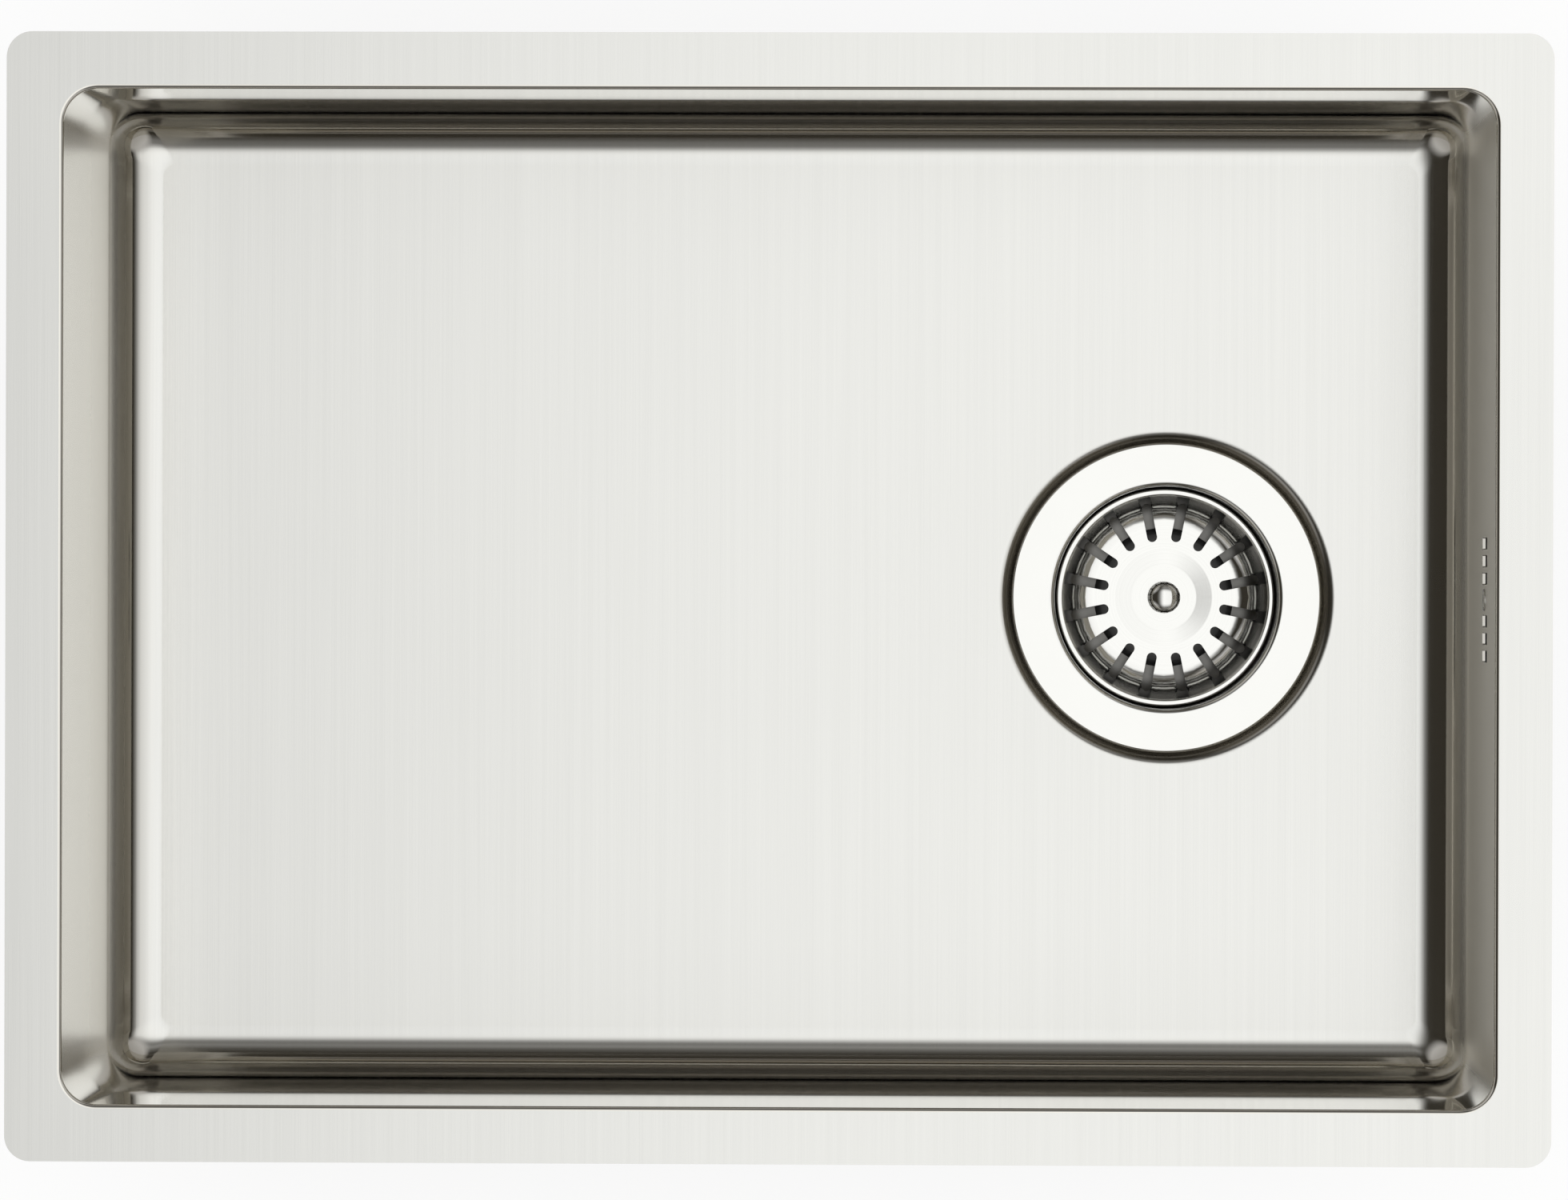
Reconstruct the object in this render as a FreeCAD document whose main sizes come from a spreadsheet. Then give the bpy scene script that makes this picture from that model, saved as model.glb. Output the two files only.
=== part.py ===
import FreeCAD, Part
import math
import os
import re
import Sketcher

# Single-bowl kitchen sink in stainless steel sheet, with a basket strainer waste and an overflow.
# The frame's origin is the middle of the bowl's opening in the plane of the flange's top,
# +X runs along the bowl to the drain and the overflow, +Z points up. Lengths are in millimetres.

SIZES = {
    # The bowl, pressed from one sheet with its flange
    "bowl_length": 500,
    "bowl_width": 355,
    "bowl_depth": 180,
    "bowl_corner_radius": 12,
    "floor_fillet_radius": 18,
    "floor_corner_radius": 5,
    "steel_sheet": 1,
    "flange_width": 20,
    "flange_corner_radius": 9,
    "rim_bend_radius": 2,
    # The round recess that the strainer's flange lies in
    "drain_from_wall": 110.5,
    "recess_depth": 2.6,
    "recess_gap": 0.3,
    "recess_shoulder": 3.5,
    "shoulder_radius": 1.5,
    "throat_gap": 1.5,
    # The overflow's slots in the right-hand wall
    "overflow_level": 63,
    "overflow_slot_width": 4,
    "overflow_slot_height": 26,
    "overflow_slot_pitch": 6.25,
    "overflow_inner_spacing": 15.1,
    "overflow_slots_a_side": 3,
    # Damping pads glued to the outside
    "pad_thickness": 2.5,
    "pad_corner_radius": 12,
    "floor_pad_length": 240,
    "floor_pad_width": 230,
    "floor_pad_shift": 95,
    "wall_pad_length": 300,
    "wall_pad_height": 90,
    "wall_pad_level": 95,
    # The strainer's flanged cup, drawn from thicker sheet
    "strainer_flange_diameter": 114,
    "strainer_sheet": 1.2,
    "cup_bore": 82.4,
    "cup_depth": 47,
    "cup_bend_radius": 2,
    "cup_corner_radius": 12,
    "lip_lift": 0.2,
    "drain_hole_count": 6,
    "drain_hole_diameter": 9.5,
    "drain_hole_gap": 0.8,
    "upper_gasket_thickness": 1,
    "lower_gasket_thickness": 2,
    # The moulded housing under the floor with its overflow inlet, and the outlet welded below it
    "housing_wall": 2.6,
    "overflow_way": 3.6,
    "housing_rim_width": 6,
    "housing_rim_thickness": 4,
    "housing_floor_gap": 11,
    "housing_corner_radius": 9,
    "outlet_diameter": 47.8,
    "outlet_bore": 39,
    "outlet_length": 24,
    "hub_gap": 1,
    "hub_radius": 11,
    "hub_height": 17,
    "hub_rib_thickness": 3,
    "hub_rib_height": 10,
    "hub_rib_count": 4,
    "inlet_drop": 27,
    "inlet_length": 28,
    # The hollow screw that clamps cup and housing to the bowl's floor
    "clamp_head_radius": 9,
    "clamp_head_height": 2,
    "clamp_shank_radius": 6,
    "clamp_screw_length": 16,
    "driver_slot_width": 2,
    "driver_slot_depth": 1.1,
    "insert_wall": 2,
    "insert_length": 10,
    # The lift-out basket
    "ring_gap": 0.75,
    "ring_width": 2,
    "ring_lip_drop": 2.6,
    "basket_sheet": 0.8,
    "basket_depth": 23,
    "basket_wall_lean": 4.2,
    "basket_corner_radius": 8,
    "ring_bend_radius": 0.9,
    "floor_dish_radius": 18,
    "floor_dish_depth": 0.5,
    "slot_count": 16,
    "slot_width": 3.7,
    "slot_run": 12.7,
    "slot_rise": 1,
    # Knob, stem, collet and seal of the basket
    "knob_radius": 5.9,
    "knob_height": 13,
    "knob_waist_radius": 3.2,
    "knob_foot_radius": 4.6,
    "knob_foot_height": 1.6,
    "knob_head_height": 3.4,
    "knob_taper_height": 2,
    "knob_edge_radius": 0.8,
    "stem_radius": 2.5,
    "stem_knob_grip": 7,
    "stem_collar_radius": 4.5,
    "stem_collar_height": 1.5,
    "stem_foot_radius": 3.5,
    "stem_foot_height": 2.5,
    "collet_length": 14,
    "collet_wall": 1.5,
    "collet_slit_width": 1,
    "collet_slit_length": 9,
    "collet_slit_count": 4,
    "seal_radius": 26,
    "seal_height": 7.5,
    "seal_disc_thickness": 2.5,
    "seal_lip_width": 3,
    "seal_lip_flare": 1.2,
    "seal_rest_gap": 0.3,
    "washer_radius": 12,
    "washer_thickness": 1,
    # The overflow head behind the wall
    "head_cavity_width": 50,
    "head_cavity_height": 32,
    "head_wall": 2.6,
    "cavity_radius": 2.5,
    "head_flange_width": 5,
    "head_flange_thickness": 3,
    "head_corner_radius": 6,
    "head_gasket_thickness": 2,
    "head_spigot_length": 26,
    "boss_radius": 5.5,
    "boss_gap": 0.3,
    "overflow_screw_radius": 2.5,
    "overflow_screw_length": 15,
    "overflow_screw_head_radius": 4,
    "overflow_screw_head_height": 0.8,
    "overflow_insert_wall": 1.2,
    "overflow_insert_length": 9,
    # The overflow pipe and its two compression joints
    "pipe_radius": 7.5,
    "pipe_wall": 1.5,
    "pipe_bend_radius": 30,
    "pipe_grip": 15,
    "spigot_wall": 1.8,
    "nut_wall": 2,
    "nut_cover": 11,
    "nut_end": 2.6,
    "nut_wall_clearance": 1,
    "nut_groove_count": 12,
    "nut_groove_radius": 1,
    "pipe_seal_thickness": 3,
    # Fits: a slip fit between round pieces, the overrun of every cut, and the edge finder's reach
    "fit_clearance": 0.05,
    "cut_overrun": 5,
    "edge_reach": 0.01,
}

# How much of a corner's own radius a fillet that runs round it may take
CORNER_SHARE = 0.97

# How much of its radius the floor's fillet has gone across and down at each of its sections
FILLET_SECTIONS = 6
FILLET_SHARES = [(1 - math.cos(step * math.pi / 2 / FILLET_SECTIONS),
                  math.sin(step * math.pi / 2 / FILLET_SECTIONS)) for step in range(FILLET_SECTIONS + 1)]

document = FreeCAD.newDocument("KitchenSink")
sheet = document.addObject("Spreadsheet::Sheet", "Sizes")
for row, (name, value) in enumerate(SIZES.items(), 1):
    sheet.set("A%d" % row, name)
    sheet.set("B%d" % row, str(value))
    sheet.setAlias("B%d" % row, name)
document.recompute()

pieces = []


def formula(text):
    """Name the sheet before each size in an expression."""
    return re.sub(r"[a-z_]+", lambda word: "Sizes." + word[0] if word[0] in SIZES else word[0], text)


def worth(text):
    """Give the number that an expression on the sizes stands for."""
    return float(sheet.evalExpression(text))


def bind(item, **expressions):
    """Tie properties of an object to expressions on the sizes."""
    for prop, text in expressions.items():
        item.setExpression(prop.replace("__", "."), formula(text))


def new_body(label, x="0", y="0", z="0"):
    """Start a piece whose own origin stands at a worked-out place of the sink."""
    body = document.addObject("PartDesign::Body", label)
    body.Label = label
    bind(body, Placement__Base__x=x, Placement__Base__y=y, Placement__Base__z=z)
    pieces.append(body)
    return body


def origin_item(body, role):
    """Find one of the planes or axes of a body's own origin."""
    return next(item for item in body.Origin.OriginFeatures if item.Role == role)


def new_sketch(body, label, role, across="0", up="0", out="0"):
    """Lay a sketch on an origin plane, moved within the plane or along its normal."""
    sketch = body.newObject("Sketcher::SketchObject", label)
    sketch.AttachmentSupport = [(origin_item(body, role), "")]
    sketch.MapMode = "FlatFace"
    bind(sketch, AttachmentOffset__Base__x=across)
    bind(sketch, AttachmentOffset__Base__y=up)
    bind(sketch, AttachmentOffset__Base__z=out)
    return sketch


def pin(sketch, item, end, across, up):
    """Hold one point of a sketch at a pair of expressions."""
    for kind, axis, text in (("DistanceX", -2, across), ("DistanceY", -1, up)):
        if text == "0":
            sketch.addConstraint(Sketcher.Constraint("PointOnObject", item, end, axis))
        else:
            held = Sketcher.Constraint(kind, -1, 1, item, end, worth(text))
            number = sketch.addConstraint(held)
            sketch.setExpression("Constraints[%d]" % number, formula(text))


def draw_outline(sketch, corners):
    """Draw a closed chain of straight lines through pairs of expressions."""
    first = sketch.GeometryCount
    count = len(corners)
    places = [FreeCAD.Vector(worth(across), worth(up), 0) for across, up in corners]
    for number in range(count):
        sketch.addGeometry(Part.LineSegment(places[number], places[(number + 1) % count]), False)
    for number in range(count):
        following = first + (number + 1) % count
        sketch.addConstraint(Sketcher.Constraint("Coincident", first + number, 2, following, 1))
    for number, (across, up) in enumerate(corners):
        pin(sketch, first + number, 1, across, up)


def draw_rectangle(sketch, across, up):
    """Draw a rectangle of these half lengths about the sketch's origin."""
    low_across = "-(%s)" % across
    low_up = "-(%s)" % up
    draw_outline(sketch, [(low_across, low_up), (across, low_up), (across, up), (low_across, up)])


def draw_plate(sketch, across, up, radius):
    """Draw a rectangle of these half lengths, with round corners, about the sketch's origin."""
    long_side = worth(across)
    short_side = worth(up)
    bend = worth(radius)
    swing = bend * (1 - math.sqrt(0.5))
    first = sketch.GeometryCount
    corners = ((1, 1), (-1, 1), (-1, -1), (1, -1))
    for turn, (side, end) in enumerate(corners):
        along = FreeCAD.Vector(side * long_side, end * (short_side - bend), 0)
        middle = FreeCAD.Vector(side * (long_side - swing), end * (short_side - swing), 0)
        over = FreeCAD.Vector(side * (long_side - bend), end * short_side, 0)
        start, stop = (along, over) if turn % 2 == 0 else (over, along)
        sketch.addGeometry(Part.Arc(start, middle, stop), False)
    for number in range(4):
        arc = sketch.Geometry[first + number]
        following = sketch.Geometry[first + (number + 1) % 4]
        sketch.addGeometry(Part.LineSegment(arc.EndPoint, following.StartPoint), False)
    for number in range(4):
        following = first + (number + 1) % 4
        line = first + 4 + number
        sketch.addConstraint(Sketcher.Constraint("Tangent", first + number, 2, line, 1))
        sketch.addConstraint(Sketcher.Constraint("Tangent", line, 2, following, 1))
    for number, (side, end) in enumerate(corners):
        pin(sketch, first + number, 3, "%d * (%s - (%s))" % (side, across, radius),
            "%d * (%s - (%s))" % (end, up, radius))
    for number in range(1, 4):
        sketch.addConstraint(Sketcher.Constraint("Equal", first, first + number))
    number = sketch.addConstraint(Sketcher.Constraint("Radius", first, bend))
    sketch.setExpression("Constraints[%d]" % number, formula(radius))


def draw_circle(sketch, radius, across="0", up="0"):
    """Draw a circle about a pair of expressions."""
    centre = FreeCAD.Vector(worth(across), worth(up), 0)
    circle = Part.Circle(centre, FreeCAD.Vector(0, 0, 1), worth(radius))
    item = sketch.addGeometry(circle, False)
    pin(sketch, item, 3, across, up)
    number = sketch.addConstraint(Sketcher.Constraint("Radius", item, worth(radius)))
    sketch.setExpression("Constraints[%d]" % number, formula(radius))


def draw_slot(sketch, start, end, radius):
    """Draw a round-ended slot between two points, each a pair of expressions."""
    ends = [FreeCAD.Vector(worth(across), worth(up), 0) for across, up in (start, end)]
    lead = FreeCAD.Vector(ends[1] - ends[0]).normalize() * worth(radius)
    side = FreeCAD.Vector(-lead.y, lead.x, 0)
    first = sketch.GeometryCount
    sketch.addGeometry(Part.Arc(ends[0] + side, ends[0] - lead, ends[0] - side), False)
    sketch.addGeometry(Part.LineSegment(ends[0] - side, ends[1] - side), False)
    sketch.addGeometry(Part.Arc(ends[1] - side, ends[1] + lead, ends[1] + side), False)
    sketch.addGeometry(Part.LineSegment(ends[1] + side, ends[0] + side), False)
    for arc, line, arc_end, line_end in ((0, 1, 2, 1), (2, 1, 1, 2), (2, 3, 2, 1), (0, 3, 1, 2)):
        touch = Sketcher.Constraint("Tangent", first + arc, arc_end, first + line, line_end)
        sketch.addConstraint(touch)
    sketch.addConstraint(Sketcher.Constraint("Equal", first, first + 2))
    pin(sketch, first, 3, *start)
    pin(sketch, first + 2, 3, *end)
    number = sketch.addConstraint(Sketcher.Constraint("Radius", first, worth(radius)))
    sketch.setExpression("Constraints[%d]" % number, formula(radius))


def volume_of(body):
    """Measure what a body holds so far."""
    document.recompute()
    return body.Shape.Volume if not body.Shape.isNull() else 0


def feature(body, kind, label, sketch, grows, **settings):
    """Add a sketched feature and make sure that it changed the body the way it should."""
    before = volume_of(body)
    made = body.newObject("PartDesign::" + kind, label)
    made.Profile = sketch
    for prop, value in settings.items():
        if isinstance(value, str) and prop in ("Length", "Length2"):
            bind(made, **{prop: value})
        else:
            setattr(made, prop, value)
    after = volume_of(body)
    if (after <= before) if grows else (after >= before):
        raise ValueError("%s leaves the volume at %.2f after %.2f" % (label, after, before))
    return made


def pad(body, label, sketch, length, **settings):
    """Raise a sketch into the body."""
    return feature(body, "Pad", label, sketch, True, Length=length, **settings)


def pocket(body, label, sketch, length, **settings):
    """Cut a sketch out of the body, against the sketch's normal unless reversed."""
    return feature(body, "Pocket", label, sketch, False, Length=length, **settings)


def turned(body, label, sketch, grows=True):
    """Turn a profile about its sketch's upright axis, as metal or as a cut."""
    kind = "Revolution" if grows else "Groove"
    return feature(body, kind, label, sketch, grows, ReferenceAxis=(sketch, ["V_Axis"]), Angle=360)


def around(body, label, original, count):
    """Repeat a feature evenly about the body's upright axis."""
    before = volume_of(body)
    pattern = body.newObject("PartDesign::PolarPattern", label)
    pattern.Originals = [original]
    pattern.Axis = (origin_item(body, "Z_Axis"), [""])
    pattern.Angle = 360
    bind(pattern, Occurrences=count)
    body.Tip = pattern
    if volume_of(body) == before:
        raise ValueError(label + " repeats nothing")
    return pattern


def round_edges(body, label, radius, chosen):
    """Round those edges of the body that a test picks."""
    document.recompute()
    base = body.Tip
    names = ["Edge%d" % number for number, edge in enumerate(base.Shape.Edges, 1) if chosen(edge)]
    if not names:
        raise ValueError(label + " finds no edge")
    fillet = body.newObject("PartDesign::Fillet", label)
    fillet.Base = (base, names)
    bind(fillet, Radius=radius)
    document.recompute()
    return fillet


def near(value, text):
    """Tell whether a measure matches an expression."""
    return abs(value - worth(text)) < worth("edge_reach")


def ring_edge(radius, level, across="0"):
    """Make a test for round edges about the upright axis, in the body's own frame."""
    def test(edge):
        if not isinstance(edge.Curve, Part.Circle):
            return False
        centre = edge.Curve.Center
        return near(edge.Curve.Radius, radius) and near(centre.z, level) and near(centre.x, across)
    return test


def level_edge(level, within_x, within_y):
    """Make a test for edges that lie flat at one level, no further out than these half lengths."""
    def test(edge):
        box = edge.BoundBox
        if not (near(box.ZMin, level) and near(box.ZMax, level)):
            return False
        reach = worth("edge_reach")
        return (max(abs(box.XMin), abs(box.XMax)) < worth(within_x) + reach
                and max(abs(box.YMin), abs(box.YMax)) < worth(within_y) + reach)
    return test


# Places that several pieces share, from the strainer's seat in the recess: the seat is level 0
DRAIN_X = "bowl_length / 2 - drain_from_wall"
SEAT_Z = "-bowl_depth - recess_depth"
FLANGE_TOP = "upper_gasket_thickness + strainer_sheet"
CUP_FLOOR = FLANGE_TOP + " - cup_depth"
CUP_OUTER = "cup_bore / 2 + strainer_sheet"
WASTE_HOLE = CUP_OUTER + " + throat_gap"
BASKET_UNDER = CUP_FLOOR + " + seal_rest_gap + seal_height"
BASKET_FLOOR = BASKET_UNDER + " + basket_sheet"
HOUSING_TOP = "-steel_sheet - lower_gasket_thickness"
HOUSING_INNER = CUP_OUTER + " + overflow_way"
HOUSING_OUTER = HOUSING_INNER + " + housing_wall"
HOUSING_FLOOR = CUP_FLOOR + " - strainer_sheet - housing_floor_gap"
HOUSING_UNDER = HOUSING_FLOOR + " - housing_wall"
HUB_TOP = CUP_FLOOR + " - strainer_sheet - hub_gap"
INLET_Z = HOUSING_TOP + " - inlet_drop"
INLET_END = HOUSING_OUTER + " + inlet_length"
WALL_X = "bowl_length / 2 + steel_sheet"
SPIGOT_RADIUS = "pipe_radius + fit_clearance + spigot_wall"
NUT_RADIUS = SPIGOT_RADIUS + " + fit_clearance + nut_wall"
HEAD_AXIS = NUT_RADIUS + " + nut_wall_clearance"
HEAD_BOTTOM = "-head_cavity_height / 2 - head_wall"
SPIGOT_END = HEAD_BOTTOM + " - head_spigot_length"


def tub(body, label, extra, grows):
    """The tub's outside or inside: straight walls, then sections that round them into the floor."""
    radius = "(floor_fillet_radius + %s)" % extra
    half_length = "bowl_length / 2 + %s" % extra
    half_width = "bowl_width / 2 + %s" % extra
    corner = "(bowl_corner_radius + %s)" % extra
    foot = "bowl_depth - floor_fillet_radius"
    plan = new_sketch(body, label + "_plan", "XY_Plane")
    draw_plate(plan, half_length, half_width, corner)
    if grows:
        pad(body, label, plan, foot, Reversed=True)
    else:
        pocket(body, label, plan, foot)
    sections = []
    for number, (across_share, down_share) in enumerate(FILLET_SHARES):
        section = new_sketch(body, "%s_section_%d" % (label, number), "XY_Plane",
                             out="-(%s) - %s * %.6f" % (foot, radius, down_share))
        draw_plate(section, "%s - %s * %.6f" % (half_length, radius, across_share),
                   "%s - %s * %.6f" % (half_width, radius, across_share),
                   "%s - (%s - floor_corner_radius) * %.6f" % (corner, corner, across_share))
        sections.append(section)
    kind = "AdditiveLoft" if grows else "SubtractiveLoft"
    feature(body, kind, label + "_foot", sections[0], grows, Sections=sections[1:], Ruled=True)


def sink_bowl():
    """The drawn bowl: a filleted tub hanging from a flat flange, with recess, waste hole and slots."""
    body = new_body("sink_bowl")
    half_length = "bowl_length / 2"
    half_width = "bowl_width / 2"
    outer_length = half_length + " + steel_sheet"
    outer_width = half_width + " + steel_sheet"

    tub(body, "outside", "steel_sheet", True)
    plate = new_sketch(body, "flange_plan", "XY_Plane")
    draw_plate(plate, half_length + " + flange_width", half_width + " + flange_width",
               "flange_corner_radius")
    pad(body, "flange", plate, "steel_sheet", Reversed=True)
    tub(body, "inside", "0", False)

    under = new_sketch(body, "recess_under", "XZ_Plane", across=DRAIN_X, up=SEAT_Z)
    flat = "strainer_flange_diameter / 2 + recess_gap"
    brow = flat + " + recess_shoulder"
    draw_outline(under, [
        ("0", "-steel_sheet"),
        (flat + " + steel_sheet", "-steel_sheet"),
        (brow + " + steel_sheet", "recess_depth - steel_sheet"),
        (brow + " + steel_sheet", "recess_depth - steel_sheet / 2"),
        ("0", "recess_depth - steel_sheet / 2"),
    ])
    turned(body, "recess_boss", under)

    recess = new_sketch(body, "recess_profile", "XZ_Plane", across=DRAIN_X, up=SEAT_Z)
    draw_outline(recess, [
        ("0", "0"),
        (flat, "0"),
        (brow, "recess_depth"),
        (brow, "recess_depth + cut_overrun"),
        ("0", "recess_depth + cut_overrun"),
    ])
    turned(body, "recess", recess, grows=False)

    hole = new_sketch(body, "waste_hole_plan", "XY_Plane")
    draw_circle(hole, WASTE_HOLE, across=DRAIN_X)
    pocket(body, "waste_hole", hole, "bowl_depth + recess_depth + steel_sheet + cut_overrun")

    slots = new_sketch(body, "overflow_plan", "YZ_Plane")
    top = "-overflow_level + overflow_slot_height / 2"
    bottom = "-overflow_level - overflow_slot_height / 2"
    for side in (-1, 1):
        for number in range(int(worth("overflow_slots_a_side"))):
            place = "%d * (overflow_inner_spacing / 2 + %d * overflow_slot_pitch)" % (side, number)
            low = place + " - overflow_slot_width / 2"
            high = place + " + overflow_slot_width / 2"
            draw_outline(slots, [(low, bottom), (high, bottom), (high, top), (low, top)])
    draw_circle(slots, "overflow_screw_radius + fit_clearance", up="-overflow_level")
    pocket(body, "overflow_slots", slots, WALL_X + " + cut_overrun", Reversed=True)

    round_edges(body, "rim_bend", "rim_bend_radius", level_edge("0", half_length, half_width))
    round_edges(body, "rim_under", "max(rim_bend_radius - steel_sheet; edge_reach)",
                level_edge("-steel_sheet", outer_length, outer_width))
    round_edges(body, "recess_brow", "shoulder_radius", ring_edge(brow, "-bowl_depth", DRAIN_X))
    round_edges(body, "recess_foot", "shoulder_radius", ring_edge(flat, SEAT_Z, DRAIN_X))
    return body


def sound_pads():
    """Damping pads: one sheet under the floor and one on each long wall, glued flat to the steel."""
    plans = (
        ("floor_sound_pad", "XY_Plane", "-floor_pad_shift", "0", "-bowl_depth - steel_sheet",
         "floor_pad_length / 2", "floor_pad_width / 2", True),
        ("front_sound_pad", "XZ_Plane", "0", "-bowl_width / 2 - steel_sheet", "-wall_pad_level",
         "wall_pad_length / 2", "wall_pad_height / 2", False),
        ("rear_sound_pad", "XZ_Plane", "0", "bowl_width / 2 + steel_sheet", "-wall_pad_level",
         "wall_pad_length / 2", "wall_pad_height / 2", True),
    )
    for label, role, x, y, z, half_across, half_up, away in plans:
        body = new_body(label, x, y, z)
        plan = new_sketch(body, label + "_plan", role)
        draw_plate(plan, half_across, half_up, "pad_corner_radius")
        pad(body, label + "_sheet", plan, "pad_thickness", Reversed=away)


def strainer_cup():
    """The strainer's drawn cup: wide flange with a turned-down edge, deep cup, drain holes, seat."""
    body = new_body("strainer_cup", DRAIN_X, "0", SEAT_Z)
    rim = "strainer_flange_diameter / 2"
    bore = "cup_bore / 2"
    profile = new_sketch(body, "cup_profile", "XZ_Plane")
    draw_outline(profile, [
        ("clamp_shank_radius + fit_clearance", CUP_FLOOR),
        (bore, CUP_FLOOR),
        (bore, FLANGE_TOP),
        (rim, FLANGE_TOP),
        (rim, "lip_lift"),
        (rim + " - strainer_sheet", "lip_lift"),
        (rim + " - strainer_sheet", "upper_gasket_thickness"),
        (CUP_OUTER, "upper_gasket_thickness"),
        (CUP_OUTER, CUP_FLOOR + " - strainer_sheet"),
        ("clamp_shank_radius + fit_clearance", CUP_FLOOR + " - strainer_sheet"),
    ])
    turned(body, "cup", profile)
    round_edges(body, "flange_bend", "cup_bend_radius", ring_edge(bore, FLANGE_TOP))
    round_edges(body, "flange_bend_under", "max(cup_bend_radius - strainer_sheet; edge_reach)",
                ring_edge(CUP_OUTER, "upper_gasket_thickness"))
    round_edges(body, "flange_edge", "strainer_sheet * %s" % CORNER_SHARE, ring_edge(rim, FLANGE_TOP))
    round_edges(body, "cup_corner", "cup_corner_radius", ring_edge(bore, CUP_FLOOR))
    round_edges(body, "cup_corner_under", "cup_corner_radius + strainer_sheet",
                ring_edge(CUP_OUTER, CUP_FLOOR + " - strainer_sheet"))

    drain = new_sketch(body, "drain_hole_plan", "XY_Plane")
    circle = "clamp_head_radius + drain_hole_gap + drain_hole_diameter / 2"
    draw_circle(drain, "drain_hole_diameter / 2", across=circle)
    hole = pocket(body, "drain_hole", drain, "cup_depth + cut_overrun")
    around(body, "drain_holes", hole, "drain_hole_count")
    return body


def flat_ring(label, inner, outer, bottom, top):
    """A flat ring about the drain's axis, such as a gasket or a washer."""
    body = new_body(label, DRAIN_X, "0", SEAT_Z)
    profile = new_sketch(body, label + "_profile", "XZ_Plane")
    draw_outline(profile, [(inner, bottom), (outer, bottom), (outer, top), (inner, top)])
    turned(body, label + "_ring", profile)
    return body


def strainer_gaskets():
    """The two gaskets that pinch the recess between the cup's flange and the housing's rim."""
    flat_ring("upper_gasket", WASTE_HOLE,
              "strainer_flange_diameter / 2 - strainer_sheet - fit_clearance",
              "0", "upper_gasket_thickness")
    flat_ring("lower_gasket", HOUSING_INNER, HOUSING_OUTER + " + housing_rim_width",
              HOUSING_TOP, "-steel_sheet")


def waste_housing():
    """The moulded housing: rim, round chamber with a hole for the outlet, and the overflow's inlet."""
    body = new_body("waste_housing", DRAIN_X, "0", SEAT_Z)
    rim = HOUSING_OUTER + " + housing_rim_width"
    profile = new_sketch(body, "housing_profile", "XZ_Plane")
    draw_outline(profile, [
        (HOUSING_INNER, HOUSING_TOP),
        (rim, HOUSING_TOP),
        (rim, HOUSING_TOP + " - housing_rim_thickness"),
        (HOUSING_OUTER, HOUSING_TOP + " - housing_rim_thickness"),
        (HOUSING_OUTER, HOUSING_UNDER),
        ("outlet_bore / 2", HOUSING_UNDER),
        ("outlet_bore / 2", HOUSING_FLOOR),
        (HOUSING_INNER, HOUSING_FLOOR),
    ])
    turned(body, "chamber", profile)
    round_edges(body, "chamber_corner", "housing_corner_radius", ring_edge(HOUSING_INNER, HOUSING_FLOOR))
    round_edges(body, "chamber_corner_under", "housing_corner_radius + housing_wall",
                ring_edge(HOUSING_OUTER, HOUSING_UNDER))

    inlet = new_sketch(body, "inlet_plan", "YZ_Plane", up=INLET_Z, out=HOUSING_INNER + " + housing_wall / 2")
    draw_circle(inlet, SPIGOT_RADIUS)
    pad(body, "inlet", inlet, "inlet_length + housing_wall / 2")
    socket = new_sketch(body, "inlet_socket_plan", "YZ_Plane", up=INLET_Z, out=INLET_END)
    draw_circle(socket, "pipe_radius + fit_clearance")
    pocket(body, "inlet_socket", socket, "pipe_grip + fit_clearance")
    bore = new_sketch(body, "inlet_bore_plan", "YZ_Plane", up=INLET_Z, out=HOUSING_OUTER)
    draw_circle(bore, "pipe_radius - pipe_wall")
    pocket(body, "inlet_bore", bore, "inlet_length + housing_wall * 2", Midplane=True)
    return body


def waste_outlet():
    """The outlet welded under the chamber, with the ribbed hub that holds the clamp screw's thread."""
    body = new_body("waste_outlet", DRAIN_X, "0", SEAT_Z)
    outer = "outlet_diameter / 2"
    bore = "outlet_bore / 2"
    end = HOUSING_UNDER + " - outlet_length"
    profile = new_sketch(body, "outlet_profile", "XZ_Plane")
    draw_outline(profile, [(bore, end), (outer, end), (outer, HOUSING_UNDER), (bore, HOUSING_UNDER)])
    turned(body, "outlet_tube", profile)

    hub = new_sketch(body, "hub_plan", "XY_Plane", out=HUB_TOP)
    draw_circle(hub, "hub_radius")
    pad(body, "hub", hub, "hub_height", Reversed=True)
    low = HUB_TOP + " - hub_height"
    ribs = (
        ("rib_foot", "(%s + %s) / 2" % (bore, outer), HOUSING_UNDER + " - (" + low + ")"),
        ("rib", bore + " - fit_clearance * 2", "hub_rib_height"),
    )
    for label, reach, height in ribs:
        plan = new_sketch(body, label + "_plan", "XY_Plane", out=low)
        draw_outline(plan, [
            ("0", "-hub_rib_thickness / 2"),
            (reach, "-hub_rib_thickness / 2"),
            (reach, "hub_rib_thickness / 2"),
            ("0", "hub_rib_thickness / 2"),
        ])
        one = pad(body, label, plan, height)
        around(body, label + "s", one, "hub_rib_count")
    seat = new_sketch(body, "insert_seat_plan", "XY_Plane", out=HUB_TOP)
    draw_circle(seat, "clamp_shank_radius + insert_wall + fit_clearance * 2")
    pocket(body, "insert_seat", seat, "insert_length")
    way = new_sketch(body, "stem_way_plan", "XY_Plane", out=HUB_TOP)
    draw_circle(way, "clamp_shank_radius + fit_clearance")
    pocket(body, "stem_way", way, "hub_height + cut_overrun")
    return body


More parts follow.
